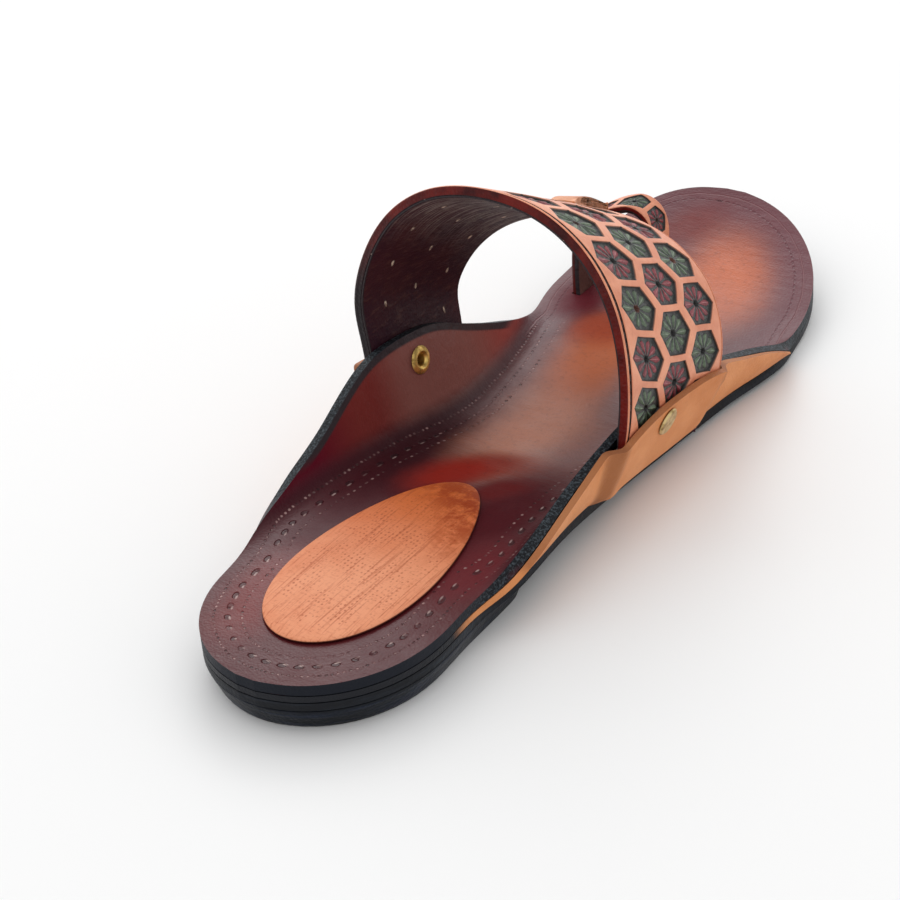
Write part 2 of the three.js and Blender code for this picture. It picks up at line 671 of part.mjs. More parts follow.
const chappal = new THREE.Group();
chappal.add(piece('outsole', outsole(), 0x1a1c24, 0.6));
chappal.add(piece('heel_block', heelBlock(), 0x181b26, 0.5));
chappal.add(piece('ear_layer', earLayer(), 0xb9784a, 0.55));
chappal.add(piece('footbed', footbed(), 0x6e2a22, 0.35));
chappal.add(piece('heel_pad', heelPad(), 0xc7713c, 0.6));
chappal.add(piece('upper', upper(), 0xc47a55, 0.5));
rivetPlaces.forEach((place) => {
  const name = place.side === inner ? 'eyelet_inner' : 'eyelet_outer';
  chappal.add(piece(name, rivet(place), 0xb08a3c, 0.3, 1));
});

// The origin is under the middle of the whole shoe's box
const box = new THREE.Box3().setFromObject(chappal, true);
chappal.position.set(-(box.min.x + box.max.x) / 2, -(box.min.y + box.max.y) / 2, -box.min.z);

export default chappal;
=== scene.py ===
import math

import bpy
import numpy as np
from mathutils import Matrix, Vector
from mathutils.bvhtree import BVHTree


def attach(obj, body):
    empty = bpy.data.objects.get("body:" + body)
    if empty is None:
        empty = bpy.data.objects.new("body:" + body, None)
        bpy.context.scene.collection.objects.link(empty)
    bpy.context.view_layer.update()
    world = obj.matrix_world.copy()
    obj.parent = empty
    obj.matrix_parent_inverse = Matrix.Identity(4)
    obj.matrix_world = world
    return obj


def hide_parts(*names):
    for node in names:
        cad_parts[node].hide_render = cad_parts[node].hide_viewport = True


# Right-foot leather chappal: +Y is the toe, +X the outer side. Sizes in the dictionaries are in mm.
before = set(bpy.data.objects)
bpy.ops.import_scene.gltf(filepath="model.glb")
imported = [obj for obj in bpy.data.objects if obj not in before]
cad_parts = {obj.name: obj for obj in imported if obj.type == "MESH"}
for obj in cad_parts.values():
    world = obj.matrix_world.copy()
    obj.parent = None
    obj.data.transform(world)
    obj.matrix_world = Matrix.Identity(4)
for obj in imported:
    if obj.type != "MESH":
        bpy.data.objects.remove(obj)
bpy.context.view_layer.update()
bpy.ops.object.select_all(action="DESELECT")
mm = 0.001


# Helpers for meshes
def link(piece):
    bpy.context.scene.collection.objects.link(piece)


def activate(piece):
    bpy.ops.object.select_all(action="DESELECT")
    piece.select_set(True)
    bpy.context.view_layer.objects.active = piece
    return piece


def startEdit(piece, mode="FACE"):
    activate(piece)
    bpy.ops.object.mode_set(mode="EDIT")
    bpy.ops.mesh.select_mode(type=mode)
    bpy.ops.mesh.select_all(action="SELECT")


def endEdit():
    bpy.ops.object.mode_set(mode="OBJECT")


def ease(value, low=0.0, high=1.0):
    t = np.clip((np.asarray(value, float) - low) / (high - low), 0, 1)
    return t * t * (3 - 2 * t)


def vertexArray(piece, kind="co"):
    values = np.empty(len(piece.data.vertices) * 3)
    piece.data.vertices.foreach_get(kind, values)
    return values.reshape(-1, 3)


def setVertices(piece, places):
    piece.data.vertices.foreach_set("co", np.asarray(places, float).ravel())
    piece.data.update()


def setAttribute(piece, name, values):
    attribute = piece.data.attributes.new(name, "FLOAT", "POINT")
    attribute.data.foreach_set("value", np.asarray(values, np.float32))


def setMap(piece, name, pairs):
    # a UV map from one pair for each vertex
    layer = piece.data.uv_layers.new(name=name)
    loops = np.empty(len(piece.data.loops), int)
    piece.data.loops.foreach_get("vertex_index", loops)
    layer.data.foreach_set("uv", np.asarray(pairs, float)[loops].ravel())


def applyModifier(piece, kind, **values):
    modifier = piece.modifiers.new(kind.lower(), kind)
    for key, value in values.items():
        setattr(modifier, key, value)
    activate(piece)
    bpy.ops.object.modifier_apply(modifier=modifier.name)
    return piece


def smoothShade(piece, angle=40):
    activate(piece)
    bpy.ops.object.shade_smooth_by_angle(angle=math.radians(angle))
    return piece


def roundedCopy(node, name, edge, levels=2):
    # a node's own shape with small round edges and a smooth curve between its sections
    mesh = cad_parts[node].data.copy()
    mesh.materials.clear()
    piece = bpy.data.objects.new(name, mesh)
    link(piece)
    startEdit(piece)
    bpy.ops.mesh.remove_doubles(threshold=0.000004)
    bpy.ops.mesh.tris_convert_to_quads(face_threshold=math.radians(50), shape_threshold=math.radians(60))
    endEdit()
    applyModifier(piece, "BEVEL", width=edge * mm, segments=2, limit_method="ANGLE", angle_limit=math.radians(42),
                  miter_outer="MITER_ARC")
    applyModifier(piece, "SUBSURF", levels=levels, render_levels=levels)
    return smoothShade(piece, 60)


def coat(piece, *materials):
    for material in materials:
        piece.data.materials.append(material)


def finishPiece(piece, slot, *nodes):
    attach(piece, "root")
    if nodes:
        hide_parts(*nodes)
    return piece


def dressNode(node, name, slot, material, edge, levels=2):
    # a rounded copy of a node with its finish takes the node's place
    piece = roundedCopy(node, name, edge, levels)
    coat(piece, material)
    return finishPiece(piece, slot, node)


def joinCopies(copies, name):
    activate(copies[0])
    for other in copies:
        other.select_set(True)
    bpy.ops.object.join()
    piece = bpy.context.object
    piece.name = name
    piece.data.name = name
    return piece


def copyOf(piece):
    other = piece.copy()
    other.data = piece.data.copy()
    link(other)
    return other


# Helpers for materials
making = {}  # tree and shader of the material that is being made


def newMaterial(name):
    material = bpy.data.materials.new(name)
    material.use_nodes = True
    tree = material.node_tree
    tree.nodes.clear()
    shader = tree.nodes.new("ShaderNodeBsdfPrincipled")
    output = tree.nodes.new("ShaderNodeOutputMaterial")
    tree.links.new(shader.outputs["BSDF"], output.inputs["Surface"])
    making.update(tree=tree, shader=shader)
    return material


def newNode(kind):
    return making["tree"].nodes.new(kind)


def feed(socket, value):
    # another node's output is linked, a number or a colour is set on the socket itself
    if isinstance(value, bpy.types.NodeSocket):
        making["tree"].links.new(value, socket)
    elif isinstance(value, tuple) and len(value) == 3 and socket.type == "RGBA":
        socket.default_value = (*value, 1)
    else:
        socket.default_value = value


def calc(operation, *values):
    node = newNode("ShaderNodeMath")
    node.operation = operation
    for socket, value in zip(node.inputs, values):
        feed(socket, value)
    return node.outputs[0]


def times(a, b):
    return calc("MULTIPLY", a, b)


def plus(a, b):
    return calc("ADD", a, b)


def minus(a, b):
    return calc("SUBTRACT", a, b)


def ratio(a, b):
    return calc("DIVIDE", a, b)


def larger(a, b):
    return calc("MAXIMUM", a, b)


def absolute(a):
    return calc("ABSOLUTE", a)


def spanOf(u, v):
    return calc("SQRT", plus(times(u, u), times(v, v)))


def fromOval(x, y, spot, radii, turn=0.0):
    # distance from a spot, as a share of a turned oval round it
    c, s = math.cos(math.radians(turn)), math.sin(math.radians(turn))
    dx, dy = minus(x, spot[0]), minus(y, spot[1])
    u = ratio(plus(times(dx, c), times(dy, s)), radii[0])
    v = ratio(minus(times(dy, c), times(dx, s)), radii[1])
    return spanOf(u, v)


def rise(value, low, high, bottom=0.0, top=1.0):
    # smooth step of a value between two places
    node = newNode("ShaderNodeMapRange")
    node.interpolation_type = "SMOOTHSTEP"
    for key, number in (("Value", value), ("From Min", low), ("From Max", high), ("To Min", bottom), ("To Max", top)):
        feed(node.inputs[key], number)
    return node.outputs["Result"]


def blend(share, low, high):
    node = newNode("ShaderNodeMix")
    node.data_type = "RGBA"
    for number, value in ((0, share), (6, low), (7, high)):
        feed(node.inputs[number], value)
    return node.outputs[2]


def place(scale=(1, 1, 1), turn=0.0):
    mapping = newNode("ShaderNodeMapping")
    mapping.inputs["Rotation"].default_value = (0, 0, math.radians(turn))
    mapping.inputs["Scale"].default_value = scale
    feed(mapping.inputs["Vector"], newNode("ShaderNodeTexCoord").outputs["Object"])
    return mapping.outputs["Vector"]


def split(vector):
    node = newNode("ShaderNodeSeparateXYZ")
    feed(node.inputs[0], vector)
    return node.outputs[0], node.outputs[1], node.outputs[2]


def millimetres():
    return split(place((1000, 1000, 1000)))


def mapOf(name):
    node = newNode("ShaderNodeUVMap")
    node.uv_map = name
    return node.outputs["UV"]


def attribute(name):
    node = newNode("ShaderNodeAttribute")
    node.attribute_name = name
    return node.outputs["Fac"]


def noise(scale, detail=4.0, roughness=0.55, vector=None):
    node = newNode("ShaderNodeTexNoise")
    feed(node.inputs["Vector"], vector or place())
    node.inputs["Scale"].default_value = scale
    node.inputs["Detail"].default_value = detail
    node.inputs["Roughness"].default_value = roughness
    return node.outputs["Fac"]


def pores(scale, vector=None, randomness=1.0):
    node = newNode("ShaderNodeTexVoronoi")
    feed(node.inputs["Vector"], vector or place())
    node.inputs["Scale"].default_value = scale
    node.inputs["Randomness"].default_value = randomness
    return node.outputs["Distance"]


def rgb(red, green, blue):
    # a colour as the eye reads it on a screen, 0 to 255
    def linear(value):
        share = value / 255
        return share / 12.92 if share <= 0.04045 else ((share + 0.055) / 1.055) ** 2.4
    return linear(red), linear(green), linear(blue)


def leatherGrain(pore, wrinkle):
    # fine pores with shallow creases, as one height
    return plus(times(pores(pore), 0.6), times(noise(wrinkle, 6, 0.6), 0.8))


def paint(colour, roughness, height, depth, shine=0.5, metal=0.0):
    # gives the material its colour, gloss and relief, whose depth is in mm
    relief = newNode("ShaderNodeBump")
    relief.inputs["Distance"].default_value = depth * mm
    feed(relief.inputs["Height"], height)
    values = (("Base Color", colour), ("Roughness", roughness), ("Normal", relief.outputs["Normal"]),
              ("Specular IOR Level", shine), ("Metallic", metal))
    for key, value in values:
        feed(making["shader"].inputs[key], value)


def plainLeather(name, tones, roughness, pore, wrinkle, depth, patch=38, speckled=0.35):
    material = newMaterial(name)
    blotch = noise(patch, 6, 0.62)
    colour = blend(rise(blotch, 0.3, 0.7), *tones)
    colour = blend(rise(noise(900, 3, 0.6), 0.52, 0.8, 0, speckled), colour, tones[0])
    gloss = rise(blotch, 0.2, 0.8, roughness + 0.08, roughness - 0.08)
    paint(colour, gloss, leatherGrain(pore, wrinkle), depth, 0.4)
    return material


# Camera, floor and light
view = {
    "place": (333.80, -485.40, 370.68),
    "aim": (-5.36, -36.56, 20.0),
    "angle": 20.62,
    "roll": -5.11,
}


def addCamera():
    data = bpy.data.cameras.new("viewCamera")
    camera = bpy.data.objects.new("viewCamera", data)
    link(camera)
    data.sensor_width = 36
    data.lens = 18 / math.tan(math.radians(view["angle"]) / 2)
    data.clip_start = 0.01
    data.clip_end = 20
    forward = (Vector(view["aim"]) - Vector(view["place"])).normalized()
    right = forward.cross(Vector((0, 0, 1))).normalized()
    up = right.cross(forward)
    c, s = math.cos(math.radians(view["roll"])), math.sin(math.radians(view["roll"]))
    turned = Matrix((c * right + s * up, c * up - s * right, -forward)).transposed()
    camera.matrix_world = Matrix.Translation(Vector(view["place"]) * mm) @ turned.to_4x4()
    bpy.context.scene.camera = camera


addCamera()

studio = {
    "floor": (0.9, 0.9, 0.9),
    "sky": 0.76,  # all round
    "window": 0.66,  # added towards the window side
    "windowWay": (-0.5, 0.67, 0.55),
    "windowSpread": (0.1, 1.0),
    "lampPlace": (-640, 860, 760),  # a soft lamp on the window side, aimed at the shoe
    "lampSize": 560,
    "lampPower": 2.6,
}


def addStudio():
    bpy.ops.mesh.primitive_plane_add(size=8, location=(0, 0, 0))
    floor = bpy.context.object
    floor.name = "studioFloor"
    coat(floor, newMaterial("palePaper"))
    for key, value in (("Base Color", studio["floor"]), ("Roughness", 0.9), ("Specular IOR Level", 0.1)):
        feed(making["shader"].inputs[key], value)
    world = bpy.data.worlds.new("studioSky")
    bpy.context.scene.world = world
    world.use_nodes = True
    making["tree"] = world.node_tree
    toWindow = newNode("ShaderNodeVectorMath")
    toWindow.operation = "DOT_PRODUCT"
    feed(toWindow.inputs[0], newNode("ShaderNodeTexCoord").outputs["Generated"])
    toWindow.inputs[1].default_value = Vector(studio["windowWay"]).normalized()
    low = studio["sky"]
    glow = rise(toWindow.outputs["Value"], *studio["windowSpread"], low, low + studio["window"])
    background = world.node_tree.nodes["Background"]
    background.inputs["Color"].default_value = (1, 1, 1, 1)
    feed(background.inputs["Strength"], glow)
    data = bpy.data.lights.new("windowLamp", "AREA")
    data.size = studio["lampSize"] * mm
    data.energy = studio["lampPower"]
    lamp = bpy.data.objects.new("windowLamp", data)
    link(lamp)
    lamp.location = Vector(studio["lampPlace"]) * mm
    lamp.rotation_euler = (-lamp.location).to_track_quat("-Z", "Y").to_euler()
    bpy.context.scene.view_settings.view_transform = "Standard"


addStudio()
print("studio ready")

# Instep strap and toe loop: both are flat strips (along, across, height) laid on the solid's outer face
strap = {
    "centre": -1.13,  # middle of its width, along the shoe
    "width": 46.4,
    "heights": (89.0, 62.6),  # rear, front
    "leans": (0.116, 0.26),
    "skews": (0.044, 0.13),
    "middleX": 0.01,
    "thickness": 3.1,
    "endThickness": 1.9,
    "flatWidth": 52.0,
    "shares": (0.02, 0.2, 0.55, 0.86),  # sections where the solid is measured
}
loop = {
    "middleX": -26.0,
    "rear": 80.27,
    "turn": 0.46,
    "lean": 0.21,
    "shoulder": 20.0,  # height of its widest place
    "flatWidth": 10.0,
    "thickness": 2.4,
    "shares": (0.76, 0.98),
}


def strapPlane(share):
    # y of the section at a share of the width is level + lean * z + skew * x
    lean = strap["leans"][0] + share * (strap["leans"][1] - strap["leans"][0])
    skew = strap["skews"][0] + share * (strap["skews"][1] - strap["skews"][0])
    middle = sum(strap["heights"]) / 4
    level = strap["centre"] + (share - 0.5) * strap["width"] - lean * middle - skew * strap["middleX"]
    return level, lean, skew


def loopPlane(share):
    lean, skew = loop["lean"], loop["turn"]
    level = loop["rear"] + share * loop["flatWidth"] - skew * loop["middleX"] - lean * loop["shoulder"]
    return level, lean, skew


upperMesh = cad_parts["upper"].data
upperTree = BVHTree.FromPolygons([v.co / mm for v in upperMesh.vertices], [p.vertices for p in upperMesh.polygons])


def measureSection(plane, middleX, low, reach, nearest, turn=42):
    # outer face of the solid where a section cuts it, from its inner end over to its outer end
    level, lean, skew = plane
    points = []
    for degree in np.arange(180 + turn, -turn, -1.0):
        x, z = math.cos(math.radians(degree)), math.sin(math.radians(degree))
        way = Vector((x, lean * z + skew * x, z)).normalized()
        origin = Vector((middleX, level + lean * low + skew * middleX, low))
        hit = upperTree.ray_cast(origin + way * reach, -way)[0]
        if hit and (hit - origin).dot(way) > nearest:
            points.append(hit)
    points = np.array(points)
    for _ in range(6):
        points[1:-1] = (points[:-2] + 2 * points[1:-1] + points[2:]) / 4
    run = np.r_[0, np.cumsum(np.linalg.norm(np.diff(points, axis=0), axis=1))]
    return run - run[np.argmax(points[:, 2])], points


def surfaceThrough(shares, curves, flatWidth):
    columns = np.array(shares)

    def surface(along, across):
        share = across / flatWidth
        spots = np.stack([np.stack([np.interp(along, run, points[:, k]) for k in range(3)], -1)
                          for run, points in curves])
        i = np.clip(np.searchsorted(columns, share) - 1, 0, len(columns) - 2)
        t = ((share - columns[i]) / (columns[i + 1] - columns[i]))[:, None]
        each = np.arange(len(along))
        return spots[i, each] * (1 - t) + spots[i + 1, each] * t
    return surface


def layOn(piece, surface, shrinkAt=None):
    # moves a flat piece to its place on the surface, in metres
    flat = vertexArray(piece)
    along, across, height = flat[:, 0], flat[:, 1], flat[:, 2]
    step = 1.5
    forward = surface(along + step, across) - surface(along - step, across)
    sideways = surface(along, across + step) - surface(along, across - step)
    normal = np.cross(forward, sideways)
    normal /= np.linalg.norm(normal, axis=1)[:, None]
    shrink = shrinkAt(along, height) if shrinkAt else 1.0
    setVertices(piece, (surface(along, across) + normal * (height * shrink)[:, None]) * mm)
    return piece


strapCurves = [measureSection(strapPlane(s), strap["middleX"],
                              0.46 * (strap["heights"][0] + s * (strap["heights"][1] - strap["heights"][0])), 120, 15)
               for s in strap["shares"]]
strapSurface = surfaceThrough(strap["shares"], strapCurves, strap["flatWidth"])
strapEnds = [float(np.interp(0.5, strap["shares"], [run[k] for run, _ in strapCurves])) for k in (0, -1)]
loopCurves = [measureSection(loopPlane(s), loop["middleX"], 18.0, 60, 6, 57) for s in loop["shares"]]
loopCurves = [(run, points - np.array([0, loop["flatWidth"] * (s - 0.5), 0]))
              for s, (run, points) in zip(loop["shares"], loopCurves)]
loopRun = loopCurves[0][0]
loopPoints = (loopCurves[0][1] + np.stack([np.interp(loopRun, loopCurves[1][0], loopCurves[1][1][:, k])
                                           for k in range(3)], -1)) / 2
loopEnds = [float(loopRun[0]), float(loopRun[-1])]
print("runs in mm: strap", [round(v, 1) for v in strapEnds], "loop", [round(v, 1) for v in loopEnds])


def loopSurface(along, across):
    spots = np.stack([np.interp(along, loopRun, loopPoints[:, k]) for k in range(3)], -1)
    spots[:, 1] += across - loop["flatWidth"] / 2
    return spots


def strapShrink(along, height):
    # the ends are thinned from inside, in their pockets
    away = np.minimum(along - strapEnds[0], strapEnds[1] - along)
    depth = 1 - (1 - strap["endThickness"] / strap["thickness"]) * (1 - ease(away, 0, 11))
    return np.where(height < 0, depth, 1)


# Honeycomb of pressed flowers, from one modelled cell
strapField = {
    "pitch": 14.1,  # of the cells in a column, along the strap
    "columns": (11.4, 26.7, 42.0),  # across
    "start": 6.4,
    "cellAlong": 6.15,  # half of a cell along the strap
    "cellPoint": 8.0,  # half of it across, from point to point
    "cellFlat": 4.15,  # half of its flat sides
    "floor": -0.8,
    "edges": (2.5, 50.9),
    "petals": 10,
    "petalRise": 0.26,
    "frontShrink": 0.035,  # the front column's pitch is this much shorter
    "redFirst": (0, 0, 1),  # shifts each column's row of red and green
}
loopField = {
    "pitch": 10.4,
    "columns": (5.0,),
    "start": 0.5,
    "cellAlong": 4.4,
    "cellPoint": 4.1,
    "cellFlat": 2.5,
    "floor": -0.5,
    "edges": (0.4, 9.6),
    "petals": 9,
    "petalRise": 0.16,
    "frontShrink": 0.0,
    "redFirst": (1,),
}


def hexagonReach(x, y, spec):
    slope = (spec["cellPoint"] - spec["cellFlat"]) / spec["cellAlong"]
    return np.maximum(np.abs(x) / spec["cellAlong"], (np.abs(y) + slope * np.abs(x)) / spec["cellPoint"])


def selectEdges(piece, chosen):
    # selects edges by their numbers and leaves the piece in edit mode
    startEdit(piece, "EDGE")
    bpy.ops.mesh.select_all(action="DESELECT")
    endEdit()
    for number in chosen:
        line = piece.data.edges[number]
        line.select = True
        for vertex in line.vertices:
            piece.data.vertices[vertex].select = True
    bpy.ops.object.mode_set(mode="EDIT")


# levels of a cell: how far out from the middle, how deep as a share of the floor, how proud the petals stand
cellLevels = [
    (1.04, 0.0, 0), (1.0, 0.06, 0), (0.985, 0.4, 0), (0.965, 0.92, 0), (0.93, 1.05, 0), (0.86, 1.05, 0.5),
    (0.76, 1.03, 1), (0.62, 1.02, 1), (0.48, 1.02, 1), (0.34, 1.02, 0.8), (0.22, 1.05, 0.3), (0.16, 1.1, 0),
    (0.12, 1.5, 0), (0.08, 2.0, 0),
]


def modelCell(spec, name):
    # a hexagonal cell: ridge, steep wall, floor and the small hole in the middle
    half = spec["pitch"] / 2
    slope = (spec["cellPoint"] - spec["cellFlat"]) / spec["cellAlong"]
    columns = spec["columns"]
    if len(columns) > 1:
        point = (columns[1] - columns[0] + slope * half) / 2
        flat = columns[1] - columns[0] - point
    else:
        point, flat = spec["cellPoint"] * 1.05, spec["cellFlat"] * 1.05
    bpy.ops.mesh.primitive_circle_add(vertices=6, radius=1, fill_type="NOTHING")
    cell = bpy.context.object
    cell.name = name
    corners = [(0, point), (-half, flat), (-half, -flat), (0, -point), (half, -flat), (half, flat)]
    setVertices(cell, [(*corner, 0) for corner in corners])
    startEdit(cell, "EDGE")
    bpy.ops.mesh.subdivide(number_cuts=9)
    endEdit()
    for share, sink, proud in cellLevels:
        bpy.ops.object.mode_set(mode="EDIT")
        bpy.ops.mesh.extrude_region_move()
        endEdit()
        places = vertexArray(cell)
        for vertex in cell.data.vertices:
            if vertex.select:
                x, y = places[vertex.index, :2]
                far = hexagonReach(x, y, spec)
                turn = math.atan2(y, x) / (2 * math.pi) * spec["petals"] % 1
                crown = max(0, math.cos(2 * math.pi * (turn - 0.5))) ** 0.6 * proud * spec["petalRise"]
                places[vertex.index] = (x / far * share, y / far * share, spec["floor"] * sink + crown)
        setVertices(cell, places)
    bpy.ops.object.mode_set(mode="EDIT")
    bpy.ops.mesh.edge_face_add()
    bpy.ops.mesh.poke()
    endEdit()
    setMap(cell, "cellMap", vertexArray(cell)[:, :2] / 20 + 0.5)
    return cell


def addField(spec, name, ends):
    # copies of the cell along each column, then plain margins out to straight edges
    cell = modelCell(spec, name + "Cell")
    low, high = ends
    copies = []
    for number, across in enumerate(spec["columns"]):
        shift = spec["pitch"] / 2 if number == 1 else 0
        first = math.floor((low - spec["start"] - shift) / spec["pitch"]) - 1
        last = math.ceil((high - spec["start"] - shift) / spec["pitch"]) + 1
        for row in range(first, last + 1):
            other = copyOf(cell)
            places = vertexArray(other)
            places[:, 0] += spec["start"] + shift + row * spec["pitch"]
            places[:, 1] += across
            setVertices(other, places)
            red = 1 - (row + spec["redFirst"][number]) % 2
            setAttribute(other, "tint", np.full(len(places), red))
            # a value for each cell that picks a brown rather than a black middle hole
            setAttribute(other, "holeMix", np.full(len(places), 0.5 + 0.5 * math.sin(row * 2.4 + number * 1.7)))
            copies.append(other)
    bpy.data.objects.remove(cell)
    sheet = joinCopies(copies, name)
    startEdit(sheet, "VERT")
    bpy.ops.mesh.remove_doubles(threshold=0.03)
    for end, way in ((low, -1), (high, 1)):
        bpy.ops.mesh.select_all(action="SELECT")
        bpy.ops.mesh.bisect(plane_co=(end, 0, 0), plane_no=(way, 0, 0), clear_outer=True)
    endEdit()
    # the long edges of the field are drawn out straight
    for side, edge in zip((-1, 1), spec["edges"]):
        startEdit(sheet, "EDGE")
        bpy.ops.mesh.select_all(action="DESELECT")
        bpy.ops.mesh.select_non_manifold()
        endEdit()
        places = vertexArray(sheet)
        outermost = spec["columns"][0] if side < 0 else spec["columns"][-1]
        chosen = []
        for line in sheet.data.edges:
            a, b = places[line.vertices[0]], places[line.vertices[1]]
            atEnd = max(a[0], b[0]) < low + 0.01 or min(a[0], b[0]) > high - 0.01
            if line.select and not atEnd and ((a[1] + b[1]) / 2 - outermost) * side > 0:
                chosen.append(line.index)
        selectEdges(sheet, chosen)
        bpy.ops.mesh.extrude_region_move()
        endEdit()
        count = len(places)
        places = vertexArray(sheet)
        places[count:, 1] = edge + side * spec["pitch"]
        places[count:, 2] = 0
        setVertices(sheet, places)
        startEdit(sheet)
        bpy.ops.mesh.bisect(plane_co=(0, edge, 0), plane_no=(0, side, 0), clear_outer=True)
        endEdit()
    startEdit(sheet)
    bpy.ops.mesh.normals_make_consistent(inside=False)
    endEdit()
    if sum(face.normal[2] * face.area for face in sheet.data.polygons) < 0:
        sheet.data.flip_normals()
    places = vertexArray(sheet)
    places[:, 0] *= 1 - spec["frontShrink"] * ease(places[:, 1], 18, 46)
    setVertices(sheet, places)
    return sheet


def profileStrip(name, profile, low, high, steps):
    # a profile drawn along a flat strip: a ring with its corners, extruded step by step, and its ends closed
    bpy.ops.mesh.primitive_circle_add(vertices=len(profile), radius=1, fill_type="NOTHING")
    strip = bpy.context.object
    strip.name = name
    strip.data.name = name
    setVertices(strip, [(low, across, height) for across, height in profile])
    startEdit(strip, "EDGE")
    for _ in range(steps):
        bpy.ops.mesh.extrude_region_move(TRANSFORM_OT_translate={"value": ((high - low) / steps, 0, 0)})
    bpy.ops.mesh.edge_face_add()
    endEdit()
    places = vertexArray(strip)
    atStart = [line.index for line in strip.data.edges if max(places[v, 0] for v in line.vertices) < low + 1e-4]
    selectEdges(strip, atStart)
    bpy.ops.mesh.edge_face_add()
    bpy.ops.mesh.select_all(action="SELECT")
    bpy.ops.mesh.normals_make_consistent(inside=False)
    endEdit()
    setMap(strip, "flatMap", vertexArray(strip)[:, :2] / 100)
    return strip


def paintFaces(piece, rule):
    # the rule gives a material's number for a face's middle
    for face in piece.data.polygons:
        face.material_index = rule(face.center)


body = {
    "groove": (0.95, 2.1, 0.5),  # from, to, depth
    "bed": -2.2,  # under the pressed sheet
    "sheet": 0.3,  # thickness of the pressed sheet
    "stitch": (2.0, 0.55, 0.45),
    "stitchPitch": 2.9,
}


def addStrapBody():
    t = strap["thickness"]
    grooveFrom, grooveTo, grooveDepth = body["groove"]
    low, high = strapField["edges"]
    width = strap["flatWidth"]
    profile = [
        (0.12, -1.35), (0.0, -1.1), (0.0, -0.5), (0.08, -0.2), (0.3, -0.02), (0.55, 0.05), (grooveFrom - 0.12, 0.0),
        (grooveFrom, -0.12), (grooveFrom + 0.12, -grooveDepth), (grooveTo - 0.12, -grooveDepth), (grooveTo, -0.08),
        (low - 0.02, -0.01), (low + 0.2, -0.05), (low + 0.3, body["bed"]), (high - 0.3, body["bed"]),
        (high - 0.2, -0.05), (high + 0.02, -0.01), (width - 0.85, 0.0), (width - 0.75, -0.2), (width - 0.55, -0.2),
        (width - 0.48, 0.0), (width - 0.3, 0.02), (width - 0.1, -0.08), (width, -0.3), (width, -1.1),
        (width - 0.1, -1.4), (width - 0.15, -t + 0.25), (width - 0.5, -t), (width * 0.75, -t), (width * 0.5, -t),
        (width * 0.25, -t), (0.7, -t), (0.3, -t + 0.1), (0.22, -t + 0.3), (0.34, -2.5), (0.08, -2.42), (0.05, -1.8),
    ]
    piece = profileStrip("strapLeather", profile, strapEnds[0] + 0.4, strapEnds[1] - 0.4, 110)

    def zone(centre):
        if grooveFrom - 0.02 < centre.y < grooveTo + 0.02 and centre.z > -1:
            return 1
        if centre.y < 0.3 and -2.45 < centre.z < -0.2:
            return 2
        if centre.z < -t + 0.03:
            return 4
        if centre.y < 1.2 and centre.z <= -2.4 or centre.y > 51 and centre.z < -0.2:
            return 3
        return 0
    paintFaces(piece, zone)
    return piece


def addStitches():
    # one thread stitch, modelled once and copied along the groove
    bpy.ops.mesh.primitive_cube_add(size=1)
    stitch = bpy.context.object
    setVertices(stitch, vertexArray(stitch) * np.array(body["stitch"]))
    applyModifier(stitch, "BEVEL", width=0.14, segments=1)
    grooveMiddle = (body["groove"][0] + body["groove"][1]) / 2
    copies = []
    for along in np.arange(strapEnds[0] + 3, strapEnds[1] - 3, body["stitchPitch"]):
        other = copyOf(stitch)
        setVertices(other, vertexArray(other) + np.array([along, grooveMiddle, -body["groove"][2] + 0.1]))
        copies.append(other)
    bpy.data.objects.remove(stitch)
    return joinCopies(copies, "strapStitches")


def laySheet(sheet, surface, shrinkAt=None):
    layOn(sheet, surface, shrinkAt)
    applyModifier(sheet, "SOLIDIFY", thickness=body["sheet"] * mm, offset=-1.0)
    smoothShade(sheet, 35)


strapCarving = addField(strapField, "strapCarving", (strapEnds[0] + 1.5, strapEnds[1] - 1.5))
laySheet(strapCarving, strapSurface, strapShrink)
strapLeather = addStrapBody()
strapStitches = addStitches()
for piece in (strapLeather, strapStitches):
    smoothShade(layOn(piece, strapSurface, strapShrink), 50)
print("strap shaped")


def addLoopBody():
    t = loop["thickness"]
    low, high = loopField["edges"]
    width = loop["flatWidth"]
    profile = [
        (0.0, -1.2), (0.0, -0.5), (0.1, -0.15), (low - 0.05, -0.02), (low + 0.1, -0.08), (low + 0.2, -1.3),
        (high - 0.2, -1.3), (high - 0.1, -0.08), (high + 0.05, -0.02), (width - 0.1, -0.15), (width, -0.5),
        (width, -1.2), (width - 0.12, -1.4), (width - 0.1, -t + 0.3), (width - 0.4, -t), (width * 0.5, -t),
        (0.4, -t), (0.1, -t + 0.3), (0.12, -1.4),
    ]
    piece = profileStrip("toeLoopLeather", profile, loopEnds[0], loopEnds[1], 56)

    def zone(centre):
        if centre.z < -t + 0.05:
            return 4
        if centre.z > -0.3 or 0.3 <= centre.y <= width - 0.3:
            return 0
        return 3 if centre.z < -1.25 else 2
    paintFaces(piece, zone)
    return piece


loopCarving = addField(loopField, "toeLoopCarving", (loopEnds[0] + 1, loopEnds[1] - 1))
laySheet(loopCarving, loopSurface)
loopLeather = addLoopBody()
smoothShade(layOn(loopLeather, loopSurface), 50)


thongCut = {
    "way": (0.916, 0.401),  # across the thong
    "middle": 4.33,
    "half": 3.6,
    "rounding": 0.35,
}


